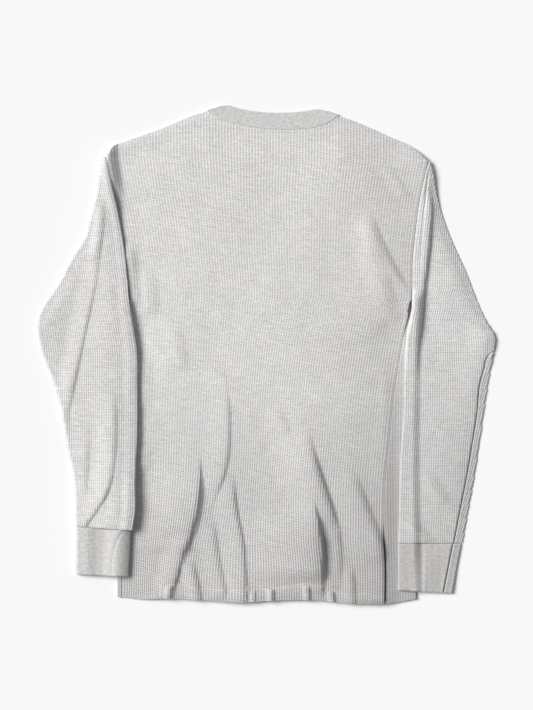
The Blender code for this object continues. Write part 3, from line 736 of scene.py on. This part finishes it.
# How the two layers come down beside the body: over what run below and above, and how much sooner above.
LEFT_SLOPES = (DRAPE, 85.0, 0.0)
RIGHT_SLOPES = (7.0, 12.5, 2.5)
LIFT = "x y radius height"
LEFT_LIFTS = table(LIFT, [(-325, 40, 30, 1.0), (-236, 262, 95, 8.5)])
RIGHT_LIFTS = table(LIFT, [(326, 20, 50, 3.0), (270, -345, 50, 2.0)])
CREASE = "x1 y1 x2 y2 x3 y3 x4 y4 depth width"
LEFT_CUFF_CREASES = table(CREASE, [
    (-197, -245, -207, -257, -213, -272, -215.5, -345, 0.7, 2.4),
])
RIGHT_CUFF_CREASES = table(CREASE, [
    (222, -262, 221, -280, 221, -300, 221, -345, 0.4, 4.0),
])
RIGHT_CREASES = table(CREASE, [
    (231, 264, 228.5, 250, 226, 225, 222, 190, 1.7, 1.3),
    (227, 245, 222.5, 190, 219, 150, 217, 90, 0.9, 1.5),
])


def lifted(lifts, x, y):
    """How far the cloth stands off the surface near its stiff corners."""
    total = 0.0
    for cx, cy, radius, height in zip(*lifts.values()):
        total = total + height * smooth(1 - np.hypot(x - cx, y - cy) / radius)
    return total


def crease_depths(creases, x, y):
    """Narrow grooves along paths through four points."""
    total = 0.0
    for row, down, beside in paths(creases, x, y):
        away = beside / row["width"]
        total = total + row["depth"] * smooth(down / 0.15) * down_to(down, 1, 0.5) * np.exp(-away * away)
    return total


def body_lifts(side, sign, beside_y):
    """How far a tube's lower layer is up on the body, and how much further its upper one: two functions.

    0 is down on the surface, 1 is on the body. Above beside_y the tube lies beside the body, where it is
    sewn in, and not on it.
    """
    run_below, run_above, shift = LEFT_SLOPES if sign > 0 else RIGHT_SLOPES

    def lift(x, y, run):
        outside = sign * (curve(side, y, "edge") - x)
        away = np.where(y > beside_y, np.hypot(np.maximum(outside, 0), y - beside_y), outside)
        return down_to(away, run, run + 1)

    def lift_below(x, y):
        return lift(x, y, run_below)

    def lift_above(x, y):
        return lift(x - sign * shift, y, run_above) - lift_below(x, y)

    return lift_below, lift_above


# %% Sections of a tube
FOLD_REACH = 0.4
FOLD_POINTS = 12
LAYER_POINTS = 240
LEFT_EDGE_RUN, RIGHT_EDGE_RUN = 3.0, 14.0
PRESSED_RUN = 5


def outer_rise(sign, from_edge):
    """Share of a tube's full rise at a distance inside its outer fold, which is steeper on the left."""
    return up_from(from_edge, 1, LEFT_EDGE_RUN if sign > 0 else RIGHT_EDGE_RUN)


def half_turn(x, y, z, reach, rise, start, end):
    """Points round the fold at the edge of a flattened tube, between two angles in degrees."""
    angle = np.radians(np.linspace(start, end, FOLD_POINTS))
    return stacked(x + reach * np.cos(angle), y, z + rise * np.sin(angle))


def flat_tube(inner, outer, lower, upper, opened, wall):
    """A section of a flattened tube, and how far along it the middle of the outer fold lies.

    inner and outer are the (x, y) of its two edges; lower and upper give the layers' levels at (x, y).
    An opened section stays open at its inner edge, where it is sewn to the body.
    """
    outward = 1 if outer[0] > inner[0] else -1
    reach = min(FOLD_REACH, abs(outer[0] - inner[0]) / 4)
    start = inner[0] + outward * (SEAM if opened else wall / 2 + reach)
    end = outer[0] - outward * (wall / 2 + reach)
    x = np.linspace(start, end, LAYER_POINTS)
    y = mix(inner[1], outer[1], np.linspace(0, 1, LAYER_POINTS))
    top, bottom = upper(x, y), lower(x, y)
    over, under = stacked(x, y, top), stacked(x, y, bottom)[::-1]
    centre, rise = (top + bottom) / 2, (top - bottom) / 2
    outer_fold = half_turn(x[-1], y[-1], centre[-1], outward * reach, rise[-1], 90, -90)
    pieces = [over, outer_fold[1:-1], under]
    if not opened:
        fold = (x[0], y[0], centre[0], -outward * reach, rise[0])
        pieces = [half_turn(*fold, 0, 90)[:-1], *pieces, half_turn(*fold, -90, 0)[1:]]
    section = np.concatenate(pieces)
    length = lengths_along(section)
    outer_at = length[np.argmax(outward * section[:, 0])]
    return point_at(section, np.linspace(0, length[-1], 2 * LAYER_POINTS)), outer_at


def tube_grid(sections, insets, pitch, course):
    """Grid, cells, edge distances and shared vertices of a tube, slit along its seam.

    Columns are counted from the inner fold, where each section starts. insets give the seam's distance
    inside the outer fold; without one, the seam is at the inner fold.
    """
    step = pitch / 2
    spans = []
    for (section, outer_at), inset in zip(sections, insets):
        whole = lengths_along(section)[-1]
        seam_at = whole if inset is None else min(outer_at - inset, whole)
        spans.append((seam_at - whole + (SEAM_SLIT / 2 if seam_at < whole else 0), seam_at - SEAM_SLIT / 2))
    low, high = np.array(spans).T[:, :, None]
    column = np.arange(int(np.floor(low.min() / step)), int(np.ceil(high.max() / step)) + 1)[None, :]
    first, last = np.floor(low / step + NEAR_EDGE), np.ceil(high / step - NEAR_EDGE)
    # The column that is nearest to the outer fold moves onto it, and its neighbours half as much.
    fold_at = np.array([outer_at for _, outer_at in sections])[:, None]
    nearest = np.round(fold_at / step)
    shift = (fold_at - nearest * step) * np.clip(1 - np.abs(column - nearest) / 2, 0, 1)
    at = np.where(column <= first, low, np.where(column >= last, high, column * step + shift))
    middle = []
    for (section, _), row in zip(sections, at):
        whole = lengths_along(section)[-1]
        middle.append(point_at(section, np.where(row < 0, row + whole, row)))
    shared = np.clip(column, first, last).astype(int) - column[0, 0]
    row = np.arange(len(sections))[:, None]
    same = row * column.size + shared
    from_end = course / 2 * np.minimum(row, len(sections) - 1 - row)
    edge = np.minimum(np.minimum(at - low, high - at), from_end)
    return np.array(middle), stacked(at / pitch, row / 2), edge, same, column


def pressed(sections, cells, pitch):
    """1 on a tube's outer fold, where the knit is pressed flat, and 0 from PRESSED_RUN away on."""
    fold_at = np.array([outer_at for _, outer_at in sections])[:, None]
    return smooth(1 - np.abs(cells[..., 0] * pitch - fold_at) / PRESSED_RUN)


# %% The sleeves
PUFF = 1.5
SLEEVE_PRESS = 0.5
# The ridge rises within EDGE_ROUND, but a small share of it over its whole run.
EDGE_ROUND, SLOW_SHARE = 0.9, 0.08


def sleeve_sections(side, armhole, inner, outer, folds, ridge, lifts, creases):
    """Sections of a sleeve from shoulder tip to cuff, half a course apart, and y at their inner edges."""
    sign = 1 if inner["x"][0] < 0 else -1
    close_y = armhole["y"][0] + UNDERARM_ROOM
    open_y = close_y + UNDERARM_RUN
    top_y, low_y = armhole["y"][-1], inner["y"][0]
    lift_below, lift_above = body_lifts(side, sign, close_y)

    def lower(x, y):
        raised = lifted(lifts, x, y) + tip_lift(x, y)
        return mix(FRONT_LEVEL, BODY_TOP + LAY + KNIT / 2, lift_below(x, y)) + raised

    def upper(x, y):
        edge_x = np.where(y < close_y, curve(inner, y), curve(armhole, y))
        inside = sign * (edge_x - x)
        width = sign * (edge_x - curve(outer, y))
        puff = PUFF * np.sin(math.pi * np.clip(inside / np.maximum(width, 1), 0, 1))
        height, run, back = (curve(ridge, y, name) for name in ("height", "run", "back"))
        rounding = mix(smooth(inside / EDGE_ROUND), smooth(inside / run), SLOW_SHARE)
        far = np.clip(0.8 * width - run, 1, RIDGE_REACH)
        fading = mix(up_from(inside, run, far), up_from(inside, run, back), NEAR_SHARE)
        roll = height * rounding * (1 - fading) * smooth(width / 10)
        outer_edge = outer_rise(sign, width - inside)
        sewn = up_from(y, close_y, UNDERARM_RUN) * (sign < 0)
        folded = fold_heights(folds, x, y) * np.maximum(up_from(inside, 0.5, 3), sewn) * outer_edge
        loose = up_from(inside, 10, 20) * up_from(width - inside, 6, 20)
        sloping = lift_above(x, y) * (BODY_TOP + LAY) * outer_edge
        level = lower(x, y) + KNIT + mix(THIN, AIR, outer_edge) + sloping
        level = level + puff * smooth(width / 60) + roll + folded
        dents = crease_depths(creases, x, y) if creases else 0.0
        return level + swell(1.3 * x, 1.3 * y) * loose - dents

    def section(y, opened):
        outer_y = y + (outer["y"][0] - low_y) * ((top_y - y) / (top_y - low_y)) ** 4
        inner_x = curve(armhole if opened else inner, y)
        if sign < 0:
            inner_x = inner_x + SLEEVE_HOLE * armhole_hole(y)
        return flat_tube((inner_x, y), (curve(outer, outer_y), outer_y), lower, upper, opened, KNIT)

    heights = np.linspace(top_y, low_y, int(round(2 * (top_y - low_y) / COURSE)) + 1)
    closed, first_open = section(close_y, False), section(open_y, True)
    sections = []
    for y in heights:
        if close_y < y < open_y:
            share = (y - close_y) / (open_y - close_y)
            sections.append(tuple(mix(a, b, share) for a, b in zip(closed, first_open)))
        else:
            sections.append(section(y, y > close_y))
    return sections, heights


def sleeve(name, sign, seam, side, armhole, *shape):
    """A sleeve in waffle knit. seam says where its underarm seam shows as a narrow slit, if it does."""
    sections, heights = sleeve_sections(side, armhole, *shape)
    close_y = armhole["y"][0] + UNDERARM_ROOM
    insets = [None if seam is None or y > close_y else curve(seam, y) for y in heights]
    middle, cells, edge, same, column = tube_grid(sections, insets, SLEEVE_PITCH, COURSE)
    relief = waffle(column / 2, cells[..., 1], edge, SLEEVE_DEPTH, SLEEVE_BARS)
    relief = relief + rolled_edge(edge, 2.5, 0.8) - SLEEVE_PRESS * pressed(sections, cells, SLEEVE_PITCH)
    return shell(name, middle, KNIT, relief, cells, same, sign)


left_shape = (LEFT_SIDE, LEFT_ARMHOLE, LEFT_SLEEVE_INNER, LEFT_SLEEVE_OUTER, LEFT_SLEEVE_FOLDS)
right_shape = (RIGHT_SIDE, RIGHT_ARMHOLE, RIGHT_SLEEVE_INNER, RIGHT_SLEEVE_OUTER, RIGHT_SLEEVE_FOLDS)
sleeve_left = sleeve("sleeve_left_knit", 1, None, *left_shape, LEFT_RIDGE, LEFT_LIFTS, None)
sleeve_right = sleeve(
    "sleeve_right_knit", -1, RIGHT_UNDERARM_SEAM, *right_shape, RIGHT_RIDGE, RIGHT_LIFTS, RIGHT_CREASES
)

# %% [markdown]
# ## Cuffs and neckband
#
# Fine rib, folded double. A cuff is a tube like the sleeve. The neckband is a ring, folded flat at the
# two ends of the shoulders, so that its back half shows above the back neckline.

# %% The cuffs
RIB_PITCH = 1.7
CUFF_COURSE = 3.0
CUFF_AIR = 0.8
CUFF_PRESS = 0.6


def cuff(name, side, top, bottom, folds, creases, lifts, ridge, inset):
    """A cuff in rib.

    top and bottom are its inner and outer corners. ridge is how high it stands inside, over what run and
    how far back.
    """
    sign = 1 if top[0][0] < 0 else -1
    top, bottom = np.array(top, float), np.array(bottom, float)
    top_y, length = top[0, 1], top[0, 1] - bottom[0, 1]
    height, run, back = ridge
    lift_below, lift_above = body_lifts(side, sign, top_y)

    def lower(x, y):
        return mix(RIB / 2, BODY_TOP + LAY + RIB / 2, lift_below(x, y)) + lifted(lifts, x, y)

    def upper(x, y):
        inner_x, outer_x = (mix(top[k, 0], bottom[k, 0], (top_y - y) / length) for k in (0, 1))
        inside = sign * (inner_x - x)
        outer_edge = outer_rise(sign, sign * (x - outer_x))
        rounding = 1 - (1 - np.clip(inside / run, 0, 1)) ** 2
        roll = height * rounding * (1 - up_from(inside, run, back))
        folded = fold_heights(folds, x, y) * smooth(inside / 6) - crease_depths(creases, x, y)
        level = lower(x, y) + RIB + mix(THIN, CUFF_AIR, outer_edge) + roll
        return level + (lift_above(x, y) * (BODY_TOP + LAY) + folded) * outer_edge

    downs = np.linspace(0, 1, int(2 * length / CUFF_COURSE) + 1)
    sections = [flat_tube(*mix(top, bottom, down), lower, upper, False, RIB) for down in downs]
    middle, cells, edge, same, column = tube_grid(sections, [inset] * len(sections), RIB_PITCH, CUFF_COURSE)
    relief = fine_rib(column) + rolled_edge(edge, 2.0, 0.9)
    relief = relief - CUFF_PRESS * pressed(sections, cells, RIB_PITCH)
    return shell(name, middle, RIB, relief, cells, same, sign)


left_corners = (((-191, -248.5), (-269.5, -243.5)), ((-194.5, -313.5), (-270, -311)))
right_corners = (((187, -267.5), (276.5, -267.5)), ((186, -333), (263, -338)))
left_looks = (LEFT_CUFF_FOLDS, LEFT_CUFF_CREASES, LEFT_LIFTS, (6.0, 16, 24), None)
right_looks = (RIGHT_CUFF_FOLDS, RIGHT_CUFF_CREASES, RIGHT_LIFTS, (0.3, 5, 10), 11.5)
cuff_left = cuff("cuff_left_rib", LEFT_SIDE, *left_corners, *left_looks)
cuff_right = cuff("cuff_right_rib", RIGHT_SIDE, *right_corners, *right_looks)

# %% The neckband
BAND_ROWS, BACK_STATIONS, FRONT_STATIONS, TURN_STATIONS = 14, 240, 300, 6
BAND_GAP = 0.15
BAND_AIR = 0.3


def evenly(section, count):
    """`count` spans of equal length along a section."""
    return point_at(section, np.linspace(0, lengths_along(section)[-1], count + 1))


def turn_stations(end, turn, side):
    """Stations round the fold of the neckband at one end of a shoulder, from the upper layer down."""
    seam_point, free_point = (np.array(p, float) for p in end)
    along = (free_point - seam_point) / np.linalg.norm(free_point - seam_point)
    out = np.array([along[1], -along[0], 0]) * side
    stations = []
    for angle in np.linspace(0, math.pi, TURN_STATIONS + 2)[1:-1]:
        shift = out * turn * 0.4 * math.sin(angle) + np.array([0, 0, turn * (math.cos(angle) - 1)])
        stations.append((seam_point + shift, free_point + shift))
    return stations


def band_grid():
    """Middle points of the neckband, from its seam to its free edge, all round the neck."""
    low, high = RIB / 2, BACK_LEVEL + BAND_AIR
    x = np.linspace(NECK_LEFT, NECK_RIGHT, 400)
    back_neck = evenly(stacked(x, top_of_back(x), 0), BACK_STATIONS)
    share = np.linspace(-1, 1, 400)
    front_neck = evenly(stacked(*front_neckline(share), 0), FRONT_STATIONS)
    edge_x = np.linspace(BAND_EDGE["x"][0], BAND_EDGE["x"][-1], len(back_neck))
    edge_y = curve(BAND_EDGE, edge_x)
    stations = [((*p[:2], high), (x, y, high)) for p, x, y in zip(back_neck, edge_x, edge_y)]
    left_end, right_end = stations[0], stations[-1]
    stations += turn_stations(right_end, (high - low) / 2, 1)
    for point in front_neck[::-1]:
        corner, tip = right_end if point[0] > NECK_CENTRE else left_end
        part = (point[0] - NECK_CENTRE) / (corner[0] - NECK_CENTRE)
        inner_x = mix(NECK_CENTRE, tip[0], part)
        inner_y = mix(FRONT_NECK_LOW + BAND_WIDTH, tip[1], part**FRONT_NECK_POWER)
        stations.append(((*point[:2], low), (inner_x, inner_y, low)))
    stations += turn_stations(left_end, (high - low) / 2, -1)[::-1]
    rows = []
    for seam_point, free_point in stations:
        seam_point, free_point = np.array(seam_point), np.array(free_point)
        start = BAND_GAP / np.linalg.norm(free_point - seam_point)
        shares = [mix(start, 1, k / BAND_ROWS) for k in range(BAND_ROWS + 1)]
        rows.append([mix(seam_point, free_point, share) for share in shares])
    return np.array(rows).transpose(1, 0, 2)


middle = band_grid()
row, column = np.meshgrid(np.arange(middle.shape[0]), np.arange(middle.shape[1]), indexing="ij")
edge = np.minimum(row, BAND_ROWS - row) * BAND_WIDTH / BAND_ROWS
relief = fine_rib(column) + rolled_edge(edge, 1.5, 0.15)
same = np.arange(row.size).reshape(row.shape)
band = shell("neckband_rib", middle, RIB, relief, stacked(column / 2, row / 2), same, 1)

# %% [markdown]
# ## Finishes
#
# Both knits are spun from grey heather: pale fibres with darker ones mixed in. In the waffle each course
# is one yarn, so the heather shows as faint level streaks. In the fine rib it shows as soft mottling. The
# finish reads the knit's own coordinates, stored with the mesh, so that streaks, yarns and pockets lie
# on the ribs that the mesh has. Shade is painted into the colour as well: in the waffle's pockets and the
# rib's grooves, towards the hem and the cuffs, towards the body's right side, and more on some pieces.


# %% Shader maths
class Value:
    """A value in a shader. Python's operators on it add the shader's own maths."""

    def __init__(self, finish, socket):
        self.finish = finish
        self.socket = socket

    def calculate(self, operation, *values):
        return self.finish.node("ShaderNodeMath", {"operation": operation}, dict(enumerate(values)))

    def __add__(self, other):
        return self.calculate("ADD", self, other)

    def __sub__(self, other):
        return self.calculate("SUBTRACT", self, other)

    def __rsub__(self, other):
        return self.calculate("SUBTRACT", other, self)

    def __mul__(self, other):
        return self.calculate("MULTIPLY", self, other)

    __radd__ = __add__
    __rmul__ = __mul__


class Finish:
    """A material whose nodes are added by one method."""

    def __init__(self, name):
        self.material = bpy.data.materials.new(name)
        self.material.use_nodes = True
        self.tree = self.material.node_tree
        self.shader = self.tree.nodes["Principled BSDF"]

    def put(self, socket, value):
        """A number, a colour or another node's value into a socket."""
        if isinstance(value, Value):
            self.tree.links.new(value.socket, socket)
        else:
            socket.default_value = value

    def node(self, kind, settings, inputs, output=0):
        """Adds a node: its settings first, then its inputs. Returns one of its outputs."""
        made = self.tree.nodes.new(kind)
        for name, setting in settings.items():
            setattr(made, name, setting)
        for name, value in inputs.items():
            self.put(made.inputs[name], value)
        return Value(self, made.outputs[output])

    def mixed(self, share, a, b):
        """A mix of two colours."""
        settings = {"data_type": "RGBA"}
        return self.node("ShaderNodeMix", settings, {"Factor": share, 6: a, 7: b}, 2)

    def mapped(self, value, low, high, at_low, at_high):
        """A value mapped from one span to another and held at its ends."""
        spans = {"Value": value, "From Min": low, "From Max": high, "To Min": at_low, "To Max": at_high}
        return self.node("ShaderNodeMapRange", {}, spans)

    def smooth_noise(self, x, y, z, detail):
        """Soft noise between 0 and 1 at the given place."""
        place = self.node("ShaderNodeCombineXYZ", {}, {0: x, 1: y, 2: z})
        inputs = {"Vector": place, "Scale": 1.0, "Detail": detail}
        return self.node("ShaderNodeTexNoise", {"noise_dimensions": "3D"}, inputs)

    def knit_place(self):
        """The knit's own coordinates: u counts its ribs, v its courses."""
        cell = self.node("ShaderNodeAttribute", {"attribute_name": "cell"}, {}, 1)
        return [self.node("ShaderNodeSeparateXYZ", {}, {0: cell}, k) for k in (0, 1)]

    def dress(self, **inputs):
        """Values for the Principled shader."""
        for name, value in inputs.items():
            self.put(self.shader.inputs[name.replace("_", " ")], value)
        return self.material

    def dress_knit(self, colour, yarn, strength, depth):
        """The Principled shader as matt knit. yarn is the relief of its yarns, up to a depth in mm."""
        bump = {"Strength": strength, "Distance": depth * MM, "Height": yarn}
        self.dress(Base_Color=colour, Normal=self.node("ShaderNodeBump", {}, bump))
        return self.dress(Roughness=0.95, Sheen_Weight=0.15, Sheen_Roughness=0.6, Specular_IOR_Level=0.15)


print("shader maths ready")


# %% The finishes
# The dark grey that painted shade mixes into the knits' colour.
PAINTED_SHADE_GREY = (0.31, 0.3, 0.295, 1)
WAFFLE_PALE, WAFFLE_DARK = (0.865, 0.857, 0.848, 1), (0.63, 0.622, 0.614, 1)
RIB_PALE, RIB_DARK = (0.78, 0.774, 0.765, 1), (0.5, 0.493, 0.485, 1)
THREAD_PALE, THREAD_DARK = (0.88, 0.77, 0.69, 1), (0.66, 0.55, 0.48, 1)
TWIST = 1400.0
PATCHY, FIBRY, MOTTLED, RIB_FIBRY = 0.6, 1.9, 1.7, 0.7
# Painted shade in the waffle's pockets and in the rib's grooves, where less light reaches.
POCKET_SHADE, GROOVE_SHADE = 0.36, 0.12
# Ribs over which painted shade is added towards a piece's right side.
LAST_RIBS = (65.0, 105.0)


def wave(value):
    """1 at whole numbers, 0 halfway between."""
    return value.calculate("COSINE", value * (2 * math.pi)) * 0.5 + 0.5


def waffle_finish(name, streaky, shade, painted_low_shade, courses, painted_right_shade=0.0):
    """Grey heather in waffle knit. streaky is how much it shows as level streaks. shade is painted shade:
    how much darker this piece's copy of the knit is drawn.

    painted_low_shade is more painted shade, added from one course to another towards hem or cuff, where the
    light falls off. painted_right_shade is painted shade added towards the last ribs, away from the light.
    The pockets and bars get painted shade where the light does not reach into them.
    """
    finish = Finish(name)
    u, v = finish.knit_place()
    rib, bar = wave(u), wave(v)
    streaks = finish.smooth_noise(u * 0.2, v * 0.9, 0.0, 3.0)
    patches = finish.smooth_noise(u * 0.14 + v * 0.05, v * 0.12 - u * 0.05, 7.0, 3.0)
    fibres = finish.smooth_noise(u * 0.9, v * 1.1, 3.0, 3.0)
    heather = (streaks - 0.5) * streaky + (patches - 0.5) * PATCHY + (fibres - 0.5) * FIBRY + 0.5
    # Painted shade: the piece's own, more towards hem or cuff, and more towards the last ribs.
    shading = finish.mapped(v, *courses, shade, shade + painted_low_shade)
    shading = shading + finish.mapped(u, *LAST_RIBS, 0.0, painted_right_shade)
    # Painted shade, strongest in the pockets, faint on the bars and where ribs cross them.
    painted_pocket_shade = (1 - rib) * (1.1 - bar * 0.9) + rib * bar * 0.08
    cloth = finish.mixed(heather, WAFFLE_DARK, WAFFLE_PALE)
    colour = finish.mixed(painted_pocket_shade * POCKET_SHADE + shading, cloth, PAINTED_SHADE_GREY)
    yarn = wave(v * 3.0) * rib * 0.5 + wave(u * 4.0) * bar * (1 - rib) * 0.4 + fibres * 0.8
    return finish.dress_knit(colour, yarn, 0.5, 0.25)


def rib_finish(name, shade):
    """Grey heather in fine rib, a little deeper than the waffle. shade is painted shade: how much darker
    this piece's copy of the rib is drawn. Its grooves get painted shade too.
    """
    finish = Finish(name)
    u, v = finish.knit_place()
    rib = wave(u)
    mottle = finish.smooth_noise(u * 0.26 + v * 0.1, v * 0.95 - u * 0.08, 0.0, 4.0)
    fibres = finish.smooth_noise(u * 1.1, v * 2.2, 3.0, 2.0)
    heather = (mottle - 0.5) * MOTTLED + (fibres - 0.5) * RIB_FIBRY + 0.5
    # Painted shade in the grooves between ribs, and the piece's own painted shade.
    colour = finish.mixed((1 - rib) * GROOVE_SHADE + shade, finish.mixed(heather, RIB_DARK, RIB_PALE), PAINTED_SHADE_GREY)
    return finish.dress_knit(colour, wave(v * 3.0) * rib * 0.5 + fibres * 0.8, 0.4, 0.2)


def thread_finish(name):
    """Cream thread with a faint twist."""
    finish = Finish(name)
    place = finish.node("ShaderNodeTexCoord", {}, {}, 3)
    x = finish.node("ShaderNodeSeparateXYZ", {}, {0: place}, 0)
    colour = finish.mixed(wave(x * TWIST) * 0.4, THREAD_PALE, THREAD_DARK)
    return finish.dress(Base_Color=colour, Roughness=0.7, Sheen_Weight=0.2)


# Each piece gets its own copy of the knit, darkened by its own painted shade for how much light reaches it.
body_grey = waffle_finish("waffle_grey_body", 1.2, 0.04, 0.29, (93.0, 33.0), 0.22)
left_grey = waffle_finish("waffle_grey_left_sleeve", 1.6, 0.13, 0.03, (60.0, 120.0))
right_grey = waffle_finish("waffle_grey_right_sleeve", 1.5, 0.08, 0.2, (60.0, 110.0))
band_grey = rib_finish("rib_grey_neckband", 0.0)
left_rib = rib_finish("rib_grey_left_cuff", 0.17)
right_rib = rib_finish("rib_grey_right_cuff", 0.3)
thread = thread_finish("thread_cream")
print("finishes:", [material.name for material in bpy.data.materials])

# %% [markdown]
# ## Into the frame
#
# Each shell stands for its solid, which stays for collision. Nothing on a top like this moves on its own,
# so every piece rides on the one body.

# %% Pieces into the frame
CM = 0.01
CUTS = {
    "back_panel": (back, body_grey, "waffle_knit", (46, 70), ["front_panel"], 0.268),
    "front_panel": (front, body_grey, "waffle_knit", (47, 69), ["floor"], 0.29),
    "sleeve_left": (sleeve_left, left_grey, "waffle_knit", (32, 53), ["floor"], 0.0965),
    "sleeve_right": (sleeve_right, right_grey, "waffle_knit", (32, 54), ["floor"], 0.0955),
    "cuff_left": (cuff_left, left_rib, "rib_knit", (17, 7), ["floor"], 0.0107),
    "cuff_right": (cuff_right, right_rib, "rib_knit", (18, 7), ["floor"], 0.0114),
    "neckband": (band, band_grey, "rib_knit", (44, 2.3), ["back_panel"], 0.0094),
}
for piece in (stitches, low_stitches):
    piece.data.materials.append(thread)
    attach(piece, "root")
for node, (piece, finish, slot, (width, length), rests_on, area) in CUTS.items():
    piece.data.materials.append(finish)
    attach(piece, "root")
    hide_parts(node)
print("pieces in the frame:", len(CUTS))

# %% [markdown]
# ## Floor, light and camera
#
# The floor is a plain pale sheet. A large soft light stands low on the left, so that ribs and folds show,
# and the rest of the light comes from all round. The camera looks straight down.

# %% Floor
bpy.ops.mesh.primitive_plane_add(size=12, location=(0, 0, -0.0002))
floor = bpy.context.object
floor.name = "floor"
paper = Finish("paper").dress(Base_Color=(0.94, 0.94, 0.94, 1), Roughness=0.9, Specular_IOR_Level=0.1)
floor.data.materials.append(paper)
floor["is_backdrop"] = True

# %% Light
SUN_AZIMUTH = math.radians(160)
SUN_ELEVATION = math.radians(38)
SUN_SPREAD = math.radians(31)
SUN_STRENGTH = 3.88
ROOM_LIGHT = 0.24
sun_data = bpy.data.lights.new("window", "SUN")
sun_data.energy = SUN_STRENGTH
sun_data.angle = SUN_SPREAD
sun = add_object("window", sun_data)
sun.rotation_euler = (math.pi / 2 - SUN_ELEVATION, 0, SUN_AZIMUTH + math.pi / 2)
world = bpy.data.worlds.new("room")
world.use_nodes = True
background = world.node_tree.nodes["Background"]
background.inputs["Color"].default_value = (1, 1, 1, 1)
background.inputs["Strength"].default_value = ROOM_LIGHT
bpy.context.scene.world = world
bpy.context.scene.view_settings.view_transform = "Standard"
print("light:", sun_data.energy, "from the window,", ROOM_LIGHT, "all round")

# %% Camera
VIEW_HEIGHT = 1.004
CAMERA_X, CAMERA_Y, CAMERA_HEIGHT = 0.00166, -0.00146, 4.0
CLOTH_LEVEL = 0.005
SENSOR = 24.0
camera_data = bpy.data.cameras.new("camera")
camera_data.sensor_fit = "VERTICAL"
camera_data.sensor_height = SENSOR
camera_data.lens = SENSOR * CAMERA_HEIGHT / VIEW_HEIGHT
camera = add_object("camera", camera_data)
camera.location = (CAMERA_X, CAMERA_Y, CAMERA_HEIGHT + CLOTH_LEVEL)
bpy.context.scene.camera = camera
print("camera:", tuple(camera.location), "lens", round(camera_data.lens, 1))

# %% Each cut's size in metres and what it rests on, worked out but not used
for node, (piece, finish, slot, (width, length), rests_on, area) in CUTS.items():
    rests = [floor.name if name == "floor" else name for name in rests_on]
    width * CM
    length * CM

# %% Sizes
bpy.context.view_layer.update()
visual_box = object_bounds()
plain = [[[float(value) for value in corner] for corner in box] for box in (cad_box, visual_box)]
print("CAD box and visual box:", plain)
